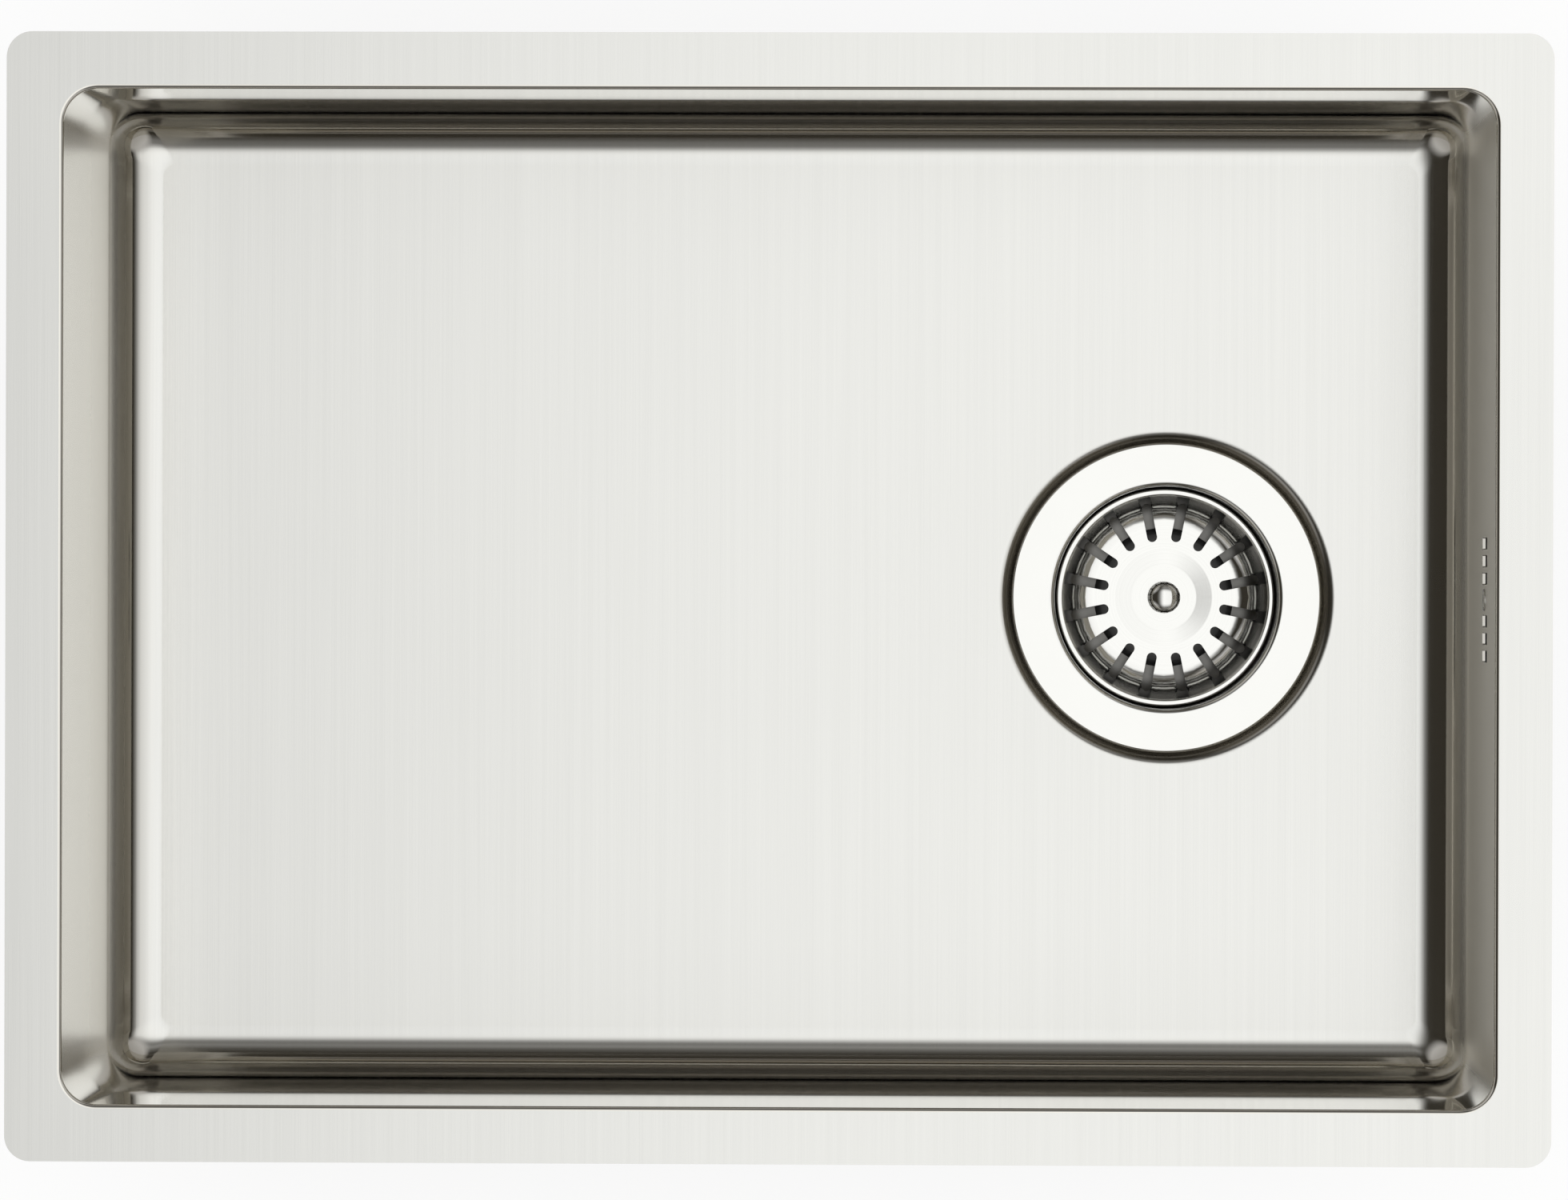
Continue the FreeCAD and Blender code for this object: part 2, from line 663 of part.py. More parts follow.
def clamp_screw():
    """The hollow clamp screw: low head with a driver slot, threaded shank, bore for the collet."""
    body = new_body("clamp_screw", DRAIN_X, "0", SEAT_Z)
    bore = "stem_radius + fit_clearance + collet_wall + fit_clearance"
    profile = new_sketch(body, "screw_profile", "XZ_Plane")
    draw_outline(profile, [
        (bore, CUP_FLOOR + " - clamp_screw_length"),
        ("clamp_shank_radius", CUP_FLOOR + " - clamp_screw_length"),
        ("clamp_shank_radius", CUP_FLOOR),
        ("clamp_head_radius", CUP_FLOOR),
        ("clamp_head_radius", CUP_FLOOR + " + clamp_head_height"),
        (bore, CUP_FLOOR + " + clamp_head_height"),
    ])
    turned(body, "screw", profile)
    round_edges(body, "head_edge", "clamp_head_height / 3",
                ring_edge("clamp_head_radius", CUP_FLOOR + " + clamp_head_height"))
    slot = new_sketch(body, "driver_slot_plan", "XY_Plane", out=CUP_FLOOR + " + clamp_head_height")
    draw_rectangle(slot, "clamp_head_radius + cut_overrun", "driver_slot_width / 2")
    pocket(body, "driver_slot", slot, "driver_slot_depth")
    return body


def basket_shell():
    """The drawn basket: rolled rim ring, leaning wall, dished floor and slots that climb the wall."""
    body = new_body("basket_shell", DRAIN_X, "0", SEAT_Z)
    top = BASKET_FLOOR + " + basket_depth"
    ring = "cup_bore / 2 - ring_gap"
    wall_top = ring + " - ring_width - ring_bend_radius / 2"
    wall_base = wall_top + " - basket_wall_lean"
    sunk = BASKET_FLOOR + " - floor_dish_depth"
    profile = new_sketch(body, "basket_profile", "XZ_Plane")
    draw_outline(profile, [
        ("stem_radius + fit_clearance", sunk),
        ("floor_dish_radius - floor_dish_depth", sunk),
        ("floor_dish_radius", BASKET_FLOOR),
        (wall_base, BASKET_FLOOR),
        (wall_top, top),
        (ring, top),
        (ring, top + " - ring_lip_drop"),
        (ring + " - basket_sheet", top + " - ring_lip_drop"),
        (ring + " - basket_sheet", top + " - basket_sheet"),
        (wall_top + " + basket_sheet", top + " - basket_sheet"),
        (wall_base + " + basket_sheet", BASKET_UNDER),
        ("floor_dish_radius", BASKET_UNDER),
        ("floor_dish_radius - floor_dish_depth", sunk + " - basket_sheet"),
        ("stem_radius + fit_clearance", sunk + " - basket_sheet"),
    ])
    turned(body, "basket", profile)
    round_edges(body, "ring_bend", "ring_bend_radius", ring_edge(wall_top, top))
    round_edges(body, "ring_edge", "basket_sheet * %s" % CORNER_SHARE, ring_edge(ring, top))
    round_edges(body, "basket_corner", "basket_corner_radius", ring_edge(wall_base, BASKET_FLOOR))
    round_edges(body, "basket_corner_under", "basket_corner_radius + basket_sheet",
                ring_edge(wall_base + " + basket_sheet", BASKET_UNDER))

    slot = new_sketch(body, "slot_plan", "XY_Plane", out=sunk + " - basket_sheet - cut_overrun")
    half_pitch = 180 / worth("slot_count")
    slot.AttachmentOffset = FreeCAD.Placement(slot.AttachmentOffset.Base,
                                              FreeCAD.Rotation(FreeCAD.Vector(0, 0, 1), half_pitch))
    inner = wall_base + " - slot_run + slot_width / 2"
    outer = wall_base + " + basket_sheet + slot_rise - slot_width / 2"
    draw_slot(slot, (inner, "0"), (outer, "0"), "slot_width / 2")
    cut = pocket(body, "slot", slot, "basket_depth - ring_lip_drop + cut_overrun", Reversed=True)
    around(body, "slots", cut, "slot_count")
    return body


def basket_fittings():
    """What is fixed to the basket: turned knob, stem, washer and the moulded seal."""
    knob = new_body("basket_knob", DRAIN_X, "0", SEAT_Z)
    foot = BASKET_FLOOR + " - floor_dish_depth"
    profile = new_sketch(knob, "knob_profile", "XZ_Plane")
    draw_outline(profile, [
        ("0", foot + " + stem_knob_grip"),
        ("stem_radius + fit_clearance", foot + " + stem_knob_grip"),
        ("stem_radius + fit_clearance", foot),
        ("knob_foot_radius", foot),
        ("knob_foot_radius", foot + " + knob_foot_height"),
        ("knob_waist_radius", foot + " + knob_foot_height * 2"),
        ("knob_waist_radius", foot + " + knob_height - knob_head_height - knob_taper_height"),
        ("knob_radius", foot + " + knob_height - knob_head_height"),
        ("knob_radius", foot + " + knob_height"),
        ("0", foot + " + knob_height"),
    ])
    turned(knob, "knob", profile)
    round_edges(knob, "knob_edge", "knob_edge_radius", ring_edge("knob_radius", foot + " + knob_height"))

    under = BASKET_UNDER + " - floor_dish_depth"
    seal_under = BASKET_UNDER + " - floor_dish_depth - seal_disc_thickness"
    washer_under = seal_under + " - washer_thickness"
    collar_under = washer_under + " - stem_collar_height"
    foot_top = collar_under + " - seal_rest_gap * 2 - collet_length"

    stem = new_body("basket_stem", DRAIN_X, "0", SEAT_Z)
    profile = new_sketch(stem, "stem_profile", "XZ_Plane")
    draw_outline(profile, [
        ("0", foot_top + " - stem_foot_height"),
        ("stem_foot_radius - stem_foot_height / 2", foot_top + " - stem_foot_height"),
        ("stem_foot_radius", foot_top + " - stem_foot_height / 2"),
        ("stem_foot_radius", foot_top),
        ("stem_radius", foot_top),
        ("stem_radius", collar_under),
        ("stem_collar_radius", collar_under),
        ("stem_collar_radius", washer_under),
        ("stem_radius", washer_under),
        ("stem_radius", foot + " + stem_knob_grip"),
        ("0", foot + " + stem_knob_grip"),
    ])
    turned(stem, "stem", profile)

    flat_ring("seal_washer", "stem_radius + fit_clearance", "washer_radius", washer_under, seal_under)

    seal = new_body("basket_seal", DRAIN_X, "0", SEAT_Z)
    lip_level = CUP_FLOOR + " + seal_rest_gap"
    shoulder = "seal_radius - seal_lip_flare"
    profile = new_sketch(seal, "seal_profile", "XZ_Plane")
    draw_outline(profile, [
        ("stem_radius + fit_clearance", seal_under),
        (shoulder + " - seal_lip_width", seal_under),
        ("seal_radius - seal_lip_width", lip_level),
        ("seal_radius", lip_level),
        (shoulder, BASKET_UNDER + " - seal_disc_thickness"),
        (shoulder + " - seal_disc_thickness / 2", BASKET_UNDER),
        ("floor_dish_radius", BASKET_UNDER),
        ("floor_dish_radius - floor_dish_depth", under),
        ("stem_radius + fit_clearance", under),
    ])
    turned(seal, "seal", profile)

    collet = new_body("stem_collet", DRAIN_X, "0", SEAT_Z)
    profile = new_sketch(collet, "collet_profile", "XZ_Plane")
    top = collar_under + " - seal_rest_gap"
    bottom = top + " - collet_length"
    draw_outline(profile, [
        ("stem_radius + fit_clearance", bottom),
        ("stem_radius + fit_clearance + collet_wall / 2", bottom),
        ("stem_radius + fit_clearance + collet_wall", bottom + " + collet_wall"),
        ("stem_radius + fit_clearance + collet_wall", top),
        ("stem_radius + fit_clearance", top),
    ])
    turned(collet, "collet", profile)
    slit = new_sketch(collet, "slit_plan", "XY_Plane", out=bottom + " - cut_overrun")
    draw_outline(slit, [
        ("stem_radius / 2", "-collet_slit_width / 2"),
        ("stem_radius + collet_wall * 2", "-collet_slit_width / 2"),
        ("stem_radius + collet_wall * 2", "collet_slit_width / 2"),
        ("stem_radius / 2", "collet_slit_width / 2"),
    ])
    cut = pocket(collet, "slit", slit, "collet_slit_length + cut_overrun", Reversed=True)
    around(collet, "slits", cut, "collet_slit_count")


def overflow_head():
    """The moulded box behind the slots: flange, hollow chamber, screw boss and a spigot downwards."""
    body = new_body("overflow_head", WALL_X, "0", "-overflow_level")
    start = "head_gasket_thickness"
    back = HEAD_AXIS + " + " + SPIGOT_RADIUS
    half_width = "head_cavity_width / 2"
    half_height = "head_cavity_height / 2"

    face = new_sketch(body, "head_flange_plan", "YZ_Plane", out=start)
    draw_plate(face, half_width + " + head_flange_width", half_height + " + head_flange_width",
               "head_corner_radius")
    pad(body, "head_flange", face, "head_flange_thickness")
    box = new_sketch(body, "head_box_plan", "YZ_Plane", out=start)
    draw_plate(box, half_width + " + head_wall", half_height + " + head_wall", "head_wall + cavity_radius")
    pad(body, "head_box", box, back + " - head_gasket_thickness")
    round_edges(body, "head_back_edges", "head_wall", lambda edge: near(edge.BoundBox.XMin, back))
    cavity = new_sketch(body, "head_cavity_plan", "YZ_Plane", out=start)
    draw_plate(cavity, half_width, half_height, "cavity_radius")
    pocket(body, "head_cavity", cavity, back + " - head_gasket_thickness - head_wall", Reversed=True)

    boss = new_sketch(body, "boss_plan", "YZ_Plane", out="boss_gap")
    draw_circle(boss, "boss_radius")
    pad(body, "boss", boss, back + " - boss_gap - head_wall / 2")
    seat = new_sketch(body, "boss_seat_plan", "YZ_Plane", out="boss_gap")
    draw_circle(seat, "overflow_screw_radius + overflow_insert_wall + fit_clearance * 2")
    pocket(body, "boss_seat", seat, "overflow_insert_length", Reversed=True)
    way = new_sketch(body, "boss_way_plan", "YZ_Plane", out="boss_gap")
    draw_circle(way, "overflow_screw_radius + fit_clearance")
    pocket(body, "boss_way", way, "overflow_screw_length + fit_clearance", Reversed=True)

    spigot = new_sketch(body, "head_spigot_plan", "XY_Plane", across=HEAD_AXIS, out=SPIGOT_END)
    draw_circle(spigot, SPIGOT_RADIUS)
    pad(body, "head_spigot", spigot, "head_spigot_length + head_wall / 2")
    socket = new_sketch(body, "head_socket_plan", "XY_Plane", across=HEAD_AXIS, out=SPIGOT_END)
    draw_circle(socket, "pipe_radius + fit_clearance")
    pocket(body, "head_socket", socket, "pipe_grip + fit_clearance", Reversed=True)
    bore = new_sketch(body, "head_bore_plan", "XY_Plane", across=HEAD_AXIS, out=SPIGOT_END)
    draw_circle(bore, "pipe_radius - pipe_wall")
    pocket(body, "head_bore", bore, "head_spigot_length + head_wall * 2", Reversed=True)
    return body


def overflow_fixings():
    """The overflow head's frame gasket, its screw from inside the bowl and the brass insert."""
    gasket = new_body("overflow_gasket", WALL_X, "0", "-overflow_level")
    plan = new_sketch(gasket, "overflow_gasket_plan", "YZ_Plane")
    draw_plate(plan, "head_cavity_width / 2 + head_flange_width",
               "head_cavity_height / 2 + head_flange_width", "head_corner_radius")
    pad(gasket, "overflow_gasket_sheet", plan, "head_gasket_thickness")
    window = new_sketch(gasket, "overflow_gasket_window", "YZ_Plane")
    draw_plate(window, "head_cavity_width / 2", "head_cavity_height / 2", "cavity_radius")
    pocket(gasket, "overflow_window", window, "head_gasket_thickness", Reversed=True)

    screw = new_body("overflow_screw", "bowl_length / 2", "0", "-overflow_level")
    shank = new_sketch(screw, "overflow_shank_plan", "YZ_Plane")
    draw_circle(shank, "overflow_screw_radius")
    pad(screw, "overflow_shank", shank, "overflow_screw_length")
    head = new_sketch(screw, "overflow_screw_head_plan", "YZ_Plane")
    draw_circle(head, "overflow_screw_head_radius")
    pad(screw, "overflow_screw_head", head, "overflow_screw_head_height", Reversed=True)
    round_edges(screw, "overflow_screw_edge", "overflow_screw_head_height / 2",
                lambda edge: near(edge.BoundBox.XMax, "-overflow_screw_head_height"))

    insert = new_body("overflow_insert", WALL_X, "0", "-overflow_level")
    ring = new_sketch(insert, "overflow_insert_plan", "YZ_Plane", out="boss_gap")
    draw_circle(ring, "overflow_screw_radius + fit_clearance + overflow_insert_wall")
    draw_circle(ring, "overflow_screw_radius + fit_clearance")
    pad(insert, "overflow_insert_ring", ring, "overflow_insert_length")


def overflow_pipe():
    """The rigid overflow pipe: down behind the wall, one bend, along under the floor to the inlet."""
    body = new_body("overflow_pipe", WALL_X, "0", "0")
    level = SEAT_Z + " + " + INLET_Z
    low_end = "-steel_sheet - drain_from_wall + " + INLET_END + " - pipe_grip"
    high_end = "-overflow_level + " + SPIGOT_END + " + pipe_grip"
    path = new_sketch(body, "pipe_path", "XZ_Plane")
    corner = FreeCAD.Vector(worth(HEAD_AXIS), worth(level), 0)
    bend = worth("pipe_bend_radius")
    centre = corner + FreeCAD.Vector(-bend, bend, 0)
    swing = FreeCAD.Vector(bend, -bend, 0).normalize() * bend
    path.addGeometry(Part.LineSegment(FreeCAD.Vector(worth(low_end), corner.y, 0),
                                      FreeCAD.Vector(centre.x, corner.y, 0)), False)
    path.addGeometry(Part.Arc(FreeCAD.Vector(centre.x, corner.y, 0), centre + swing,
                              FreeCAD.Vector(corner.x, centre.y, 0)), False)
    path.addGeometry(Part.LineSegment(FreeCAD.Vector(corner.x, centre.y, 0),
                                      FreeCAD.Vector(corner.x, worth(high_end), 0)), False)
    path.addConstraint(Sketcher.Constraint("Tangent", 0, 2, 1, 1))
    path.addConstraint(Sketcher.Constraint("Tangent", 1, 2, 2, 1))
    pin(path, 0, 1, low_end, level)
    pin(path, 2, 2, HEAD_AXIS, high_end)
    pin(path, 1, 3, HEAD_AXIS + " - pipe_bend_radius", level + " + pipe_bend_radius")
    section = new_sketch(body, "pipe_section", "YZ_Plane", up=level, out=low_end)
    draw_circle(section, "pipe_radius")
    draw_circle(section, "pipe_radius - pipe_wall")
    document.recompute()
    pipe = body.newObject("PartDesign::AdditivePipe", "pipe")
    pipe.Profile = section
    pipe.Spine = (path, ["Edge1", "Edge2", "Edge3"])
    document.recompute()
    length = sum(edge.Length for edge in path.Shape.Edges)
    radius = worth("pipe_radius")
    bore = worth("pipe_radius - pipe_wall")
    expected = Part.Face(Part.Wire(Part.makeCircle(radius))).Area * length
    expected -= Part.Face(Part.Wire(Part.makeCircle(bore))).Area * length
    print("overflow pipe: length %.1f, bend radius %.1f, volume %.0f of %.0f"
          % (length, bend, body.Shape.Volume, expected))
    return body


def compression_joint(place, x, y, z, turn):
    """A pipe nut with its seal, drawn about a spigot's end and turned along the pipe."""
    seal = new_body(place + "_pipe_seal", x, y, z)
    profile = new_sketch(seal, place + "_seal_profile", "XZ_Plane")
    draw_outline(profile, [
        ("pipe_radius + fit_clearance", "0"),
        (SPIGOT_RADIUS, "0"),
        (SPIGOT_RADIUS, "pipe_seal_thickness"),
        ("pipe_radius + fit_clearance", "pipe_seal_thickness"),
    ])
    turned(seal, place + "_seal_ring", profile)
    seal.Placement = FreeCAD.Placement(seal.Placement.Base, turn)

    nut = new_body(place + "_pipe_nut", x, y, z)
    profile = new_sketch(nut, place + "_nut_profile", "XZ_Plane")
    draw_outline(profile, [
        (SPIGOT_RADIUS + " + fit_clearance", "-nut_cover"),
        (NUT_RADIUS, "-nut_cover"),
        (NUT_RADIUS, "pipe_seal_thickness + nut_end"),
        ("pipe_radius + fit_clearance * 2", "pipe_seal_thickness + nut_end"),
        ("pipe_radius + fit_clearance * 2", "pipe_seal_thickness"),
        (SPIGOT_RADIUS + " + fit_clearance", "pipe_seal_thickness"),
    ])
    turned(nut, place + "_nut_ring", profile)
    round_edges(nut, place + "_nut_edge", "nut_end / 2",
                ring_edge(NUT_RADIUS, "pipe_seal_thickness + nut_end"))
    groove = new_sketch(nut, place + "_groove_plan", "XY_Plane", out="pipe_seal_thickness")
    draw_circle(groove, "nut_groove_radius", across=NUT_RADIUS)
    cut = pocket(nut, place + "_groove", groove, "nut_cover + pipe_seal_thickness + cut_overrun")
    around(nut, place + "_grooves", cut, "nut_groove_count")
    nut.Placement = FreeCAD.Placement(nut.Placement.Base, turn)


def compression_joints():
    """The two joints of the overflow pipe: on the head's spigot and on the housing's inlet."""
    downwards = FreeCAD.Rotation(FreeCAD.Vector(1, 0, 0), 180)
    rightwards = FreeCAD.Rotation(FreeCAD.Vector(0, 1, 0), 90)
    compression_joint("upper", WALL_X + " + " + HEAD_AXIS, "0", "-overflow_level + " + SPIGOT_END,
                      downwards)
    compression_joint("lower", DRAIN_X + " + " + INLET_END, "0", SEAT_Z + " + " + INLET_Z, rightwards)


def check_and_write():
    """Refuse any failed object or unsound shape, then write one file a piece."""
    document.recompute()
    for item in document.Objects:
        if "Invalid" in item.State or "Error" in item.State:
            raise ValueError("%s is %s" % (item.Label, item.State))
    for body in pieces:
        if body.Shape.isNull() or not body.Shape.isValid() or not body.Shape.Solids:
            raise ValueError(body.Label + " has no sound shape")
    os.makedirs("parts", exist_ok=True)
    for body in pieces:
        body.Shape.exportStep("parts/%s.step" % body.Label)


sink_bowl()
sound_pads()
strainer_cup()
strainer_gaskets()
waste_housing()
waste_outlet()
clamp_screw()
flat_ring("clamp_insert", "clamp_shank_radius + fit_clearance",
          "clamp_shank_radius + fit_clearance + insert_wall", HUB_TOP + " - insert_length", HUB_TOP)
basket_shell()
basket_fittings()
overflow_head()
overflow_fixings()
overflow_pipe()
compression_joints()
check_and_write()
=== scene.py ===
import bmesh
import bpy
import numpy as np
from mathutils import Matrix, Vector


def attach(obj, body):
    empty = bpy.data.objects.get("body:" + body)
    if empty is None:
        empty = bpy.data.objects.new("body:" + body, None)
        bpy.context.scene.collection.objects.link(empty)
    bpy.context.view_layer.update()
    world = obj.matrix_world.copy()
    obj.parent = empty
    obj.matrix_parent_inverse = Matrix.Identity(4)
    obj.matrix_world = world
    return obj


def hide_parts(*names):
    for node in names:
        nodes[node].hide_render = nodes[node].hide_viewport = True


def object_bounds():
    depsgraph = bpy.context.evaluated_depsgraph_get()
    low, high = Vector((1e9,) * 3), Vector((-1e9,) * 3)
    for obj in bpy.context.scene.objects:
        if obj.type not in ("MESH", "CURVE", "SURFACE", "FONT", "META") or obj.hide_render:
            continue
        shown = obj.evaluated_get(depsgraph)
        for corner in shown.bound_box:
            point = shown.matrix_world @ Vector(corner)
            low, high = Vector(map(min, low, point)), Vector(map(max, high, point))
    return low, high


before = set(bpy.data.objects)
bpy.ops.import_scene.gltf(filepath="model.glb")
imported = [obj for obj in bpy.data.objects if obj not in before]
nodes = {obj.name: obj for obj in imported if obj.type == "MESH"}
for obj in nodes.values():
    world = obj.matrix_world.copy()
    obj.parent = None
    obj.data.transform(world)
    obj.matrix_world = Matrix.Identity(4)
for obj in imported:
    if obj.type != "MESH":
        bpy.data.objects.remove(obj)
cad_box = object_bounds()


# The bowl, pressed from one sheet of stainless steel 1 mm thick, hangs by its flange. Flange and floor are
# brushed in straight lines across the bowl, the drawn walls stay bright, and the outside keeps its mill
# finish. The strainer's recess is stepped into the floor, and the overflow's slots are punched out.
SHEET = 0.001
FLANGE_HALF = (0.270, 0.1975)
FLANGE_CORNER = 0.009
BOWL_HALF = (0.250, 0.1775)
BOWL_CORNER = 0.012
BOWL_DEPTH = 0.180
RIM_BEND = 0.0015
FLOOR_FILLET = 0.018
FLOOR_CORNER = 0.005
DRAIN = (0.1395, 0.0)
SEAT_DEPTH = 0.0026
BROW_RADIUS = 0.0608
FOOT_RADIUS = 0.0573
BROW_BEND = 0.0045
FOOT_BEND = 0.0012
WASTE_HOLE = 0.0439
SLOT_LEVEL = -0.063
SLOT_HALF_WIDTH = 0.002
SLOT_HALF_HEIGHT = 0.013
SLOT_CORNER = 0.00025
SLOT_TEAR = 0.0001
SLOT_PITCH = 0.00625
SLOT_FIRST = 0.00755
SLOTS_A_SIDE = 3
SCREW_HOLE = 0.00255
WINDOW_HALF_HEIGHT = 0.017
MICRON = 1e-6

# Points along each stretch of a row, down each bend, and down the band of wall that has the slots. The
# floor's rows stand at shares of the way from its edge to the recess.
CELL_COLUMNS = 8
SIDE_COLUMNS = 36
CORNER_COLUMNS = 20
LONG_COLUMNS = 120
LEFT_COLUMNS = 70
WINDOW_ROWS = 16
FILLET_STEPS = 18
RECESS_STEPS = 8
FIRST_STEP = 0.006
SLIDE_SHARES = (0.08, 0.3, 0.7)

# How far the walls fall back, as slopes, and where the finish changes: a turn is in radians from flat
# towards upright, a height is in metres, and a span is how far a change takes.
SHORT_WALL_LEAN = 0.045
SHORT_FOOT_LEAN = 0.26
LONG_WALL_LEAN = 0.035
BAND_FROM = -0.080
BAND_TO = -0.063
FOOT_SPAN = 0.09
BRIGHT_TURN, BRIGHT_SPAN = 0.12, 0.6
UPRIGHT_TURN, UPRIGHT_SPAN = 0.9, 0.5
# From the dark turns on, the floor's fillet is painted darker as shade; over the step's span the recess's
# step is painted dark as shade.
DARK_TURN, DARK_SPAN = 0.55, 0.2
DARK_END, DARK_END_SPAN = 1.5, 0.15
STEP_SPAN = 0.0009
LEFT_WALL_DULL = 0.6


def rise(values, start, span):
    """0 up to the start, then straight up to 1 over the span."""
    return np.clip((values - start) / span, 0, 1)


def eased(start, stop, steps):
    """Angles from start to stop with a very short first and last step, so that the shading meets flats."""
    inner = np.linspace(start, stop, steps + 1)
    lead = (stop - start) * FIRST_STEP
    return np.concatenate([[start, start + lead], inner[1:-1], [stop - lead, stop]])


def bent(points, bends, steps):
    """A profile through points (across, up) with each inner corner rounded to its own radius.

    A corner becomes the arc that touches both its lines; bend 0 keeps the corner sharp.
    """
    points = np.array(points, float)
    rows = [points[:1]]
    for before, corner, after, bend in zip(points[:-2], points[1:-1], points[2:], bends):
        if bend == 0:
            rows.append(corner[None])
            continue
        back = (before - corner) / np.linalg.norm(before - corner)
        ahead = (after - corner) / np.linalg.norm(after - corner)
        half = np.arccos(np.clip(back @ ahead, -1, 1)) / 2
        middle = (back + ahead) / np.linalg.norm(back + ahead)
        centre = corner + middle * bend / np.sin(half)
        reach = np.pi / 2 - half
        side = ahead - middle * (ahead @ middle)
        side = side / np.linalg.norm(side)
        turn = eased(-reach, reach, steps)[:, None]
        rows.append(centre + bend * (side * np.sin(turn) - middle * np.cos(turn)))
    rows.append(points[-1:])
    return np.concatenate(rows)


def grid_faces(rows, columns, closed):
    """Quads that join each row of points to the next, going round when closed."""
    across = np.arange(columns if closed else columns - 1)
    up = np.arange(rows - 1)[:, None] * columns
    low = up + across
    high = up + (across + 1) % columns
    return np.stack([low, high, high + columns, low + columns], -1).reshape(-1, 4)


def build(name, points, faces, node, body, finish, attributes=()):
    """Make a piece from arrays, ride it on its body and let it stand for its node."""
    mesh = bpy.data.meshes.new(name)
    mesh.from_pydata(points.reshape(-1, 3).tolist(), [], [list(map(int, face)) for face in faces])
    for label, values in attributes:
        layer = mesh.attributes.new(label, "FLOAT", "POINT")
        layer.data.foreach_set("value", np.asarray(values, np.float32).ravel())
    mesh.shade_smooth()
    piece = bpy.data.objects.new(name, mesh)
    bpy.context.scene.collection.objects.link(piece)
    mesh.materials.append(finish)
    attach(piece, body)
    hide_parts(node)
    return piece


def thicken(piece, thickness, sharp_angle=0.5):
    """Give a drawn sheet its thickness below the face that was worked out.

    Edges that turn by more than the angle stay sharp.
    """
    sheet = piece.modifiers.new("sheet", "SOLIDIFY")
    sheet.thickness = thickness
    sheet.offset = -1
    sheet.use_even_offset = True
    sheet.use_quality_normals = True
    graph = bpy.context.evaluated_depsgraph_get()
    finished = bpy.data.meshes.new_from_object(piece.evaluated_get(graph))
    piece.modifiers.clear()
    piece.data = finished
    finished.shade_smooth()
    finished.set_sharp_from_angle(angle=sharp_angle)


def bowl_columns():
    """Where each point of a row stands: share along X, share along Y and turn about the corner.

    Straight runs move one share from -1 to 1 at a fixed turn; corners turn by a quarter circle.
    """
    straight = BOWL_HALF[1] - BOWL_CORNER
    pitch_edges = SLOT_FIRST - SLOT_PITCH / 2 + SLOT_PITCH * np.arange(SLOTS_A_SIDE + 1)
    borders = np.concatenate([-pitch_edges[::-1], pitch_edges])
    slotted = np.concatenate([np.linspace(a, b, CELL_COLUMNS + 1)[:-1]
                              for a, b in zip(borders, borders[1:])])
    coarse = np.linspace(borders[-1], straight, SIDE_COLUMNS + 1)
    right = np.concatenate([-coarse[::-1][:-1], slotted, coarse[:-1]]) / straight
    corner = np.linspace(0, np.pi / 2, CORNER_COLUMNS + 1)[:-1]
    along = np.linspace(-1, 1, LONG_COLUMNS + 1)[:-1]
    left = np.linspace(-1, 1, LEFT_COLUMNS + 1)[:-1]
    quarter = np.pi / 2
    parts = [
        (np.ones_like(right), right, np.zeros_like(right)),
        (np.ones_like(corner), np.ones_like(corner), corner),
        (-along, np.ones_like(along), np.full_like(along, quarter)),
        (-np.ones_like(corner), np.ones_like(corner), corner + quarter),
        (-np.ones_like(left), -left, np.full_like(left, 2 * quarter)),
        (-np.ones_like(corner), -np.ones_like(corner), corner + 2 * quarter),
        (along, -np.ones_like(along), np.full_like(along, 3 * quarter)),
        (np.ones_like(corner), -np.ones_like(corner), corner + 3 * quarter),
    ]
    return [np.concatenate(item) for item in zip(*parts)]


def bowl_rows():
    """Each row's straight half lengths, corner radius and height, from the flange's edge to the floor.

    The corner opens out with the rim's bend, and closes down the fillet to the floor's own corner.
    """
    profile = bent([(RIM_BEND * 2, 0), (0, 0), (0, -BOWL_DEPTH), (-FLOOR_FILLET - RIM_BEND, -BOWL_DEPTH)],
                   [RIM_BEND, FLOOR_FILLET], FILLET_STEPS)
    profile = profile[1:-1]
    cut = np.flatnonzero(np.isclose(profile[:, 1], -RIM_BEND, atol=MICRON))[0] + 1
    window = np.linspace(SLOT_LEVEL + WINDOW_HALF_HEIGHT, SLOT_LEVEL - WINDOW_HALF_HEIGHT, WINDOW_ROWS + 1)
    wall = np.stack([np.zeros_like(window), window], 1)
    profile = np.concatenate([profile[:cut], wall, profile[cut:]])
    out, up = profile.T
    closing = (BOWL_CORNER - FLOOR_CORNER) * np.clip(-out, 0, None) / FLOOR_FILLET
    corner = BOWL_CORNER + np.clip(out, 0, None) - closing
    rows = np.stack([BOWL_HALF[0] + out - corner, BOWL_HALF[1] + out - corner, corner, up], 1)
    edge = [FLANGE_HALF[0] - FLANGE_CORNER, FLANGE_HALF[1] - FLANGE_CORNER, FLANGE_CORNER, 0.0]
    return np.concatenate([[edge], rows]), 1 + cut


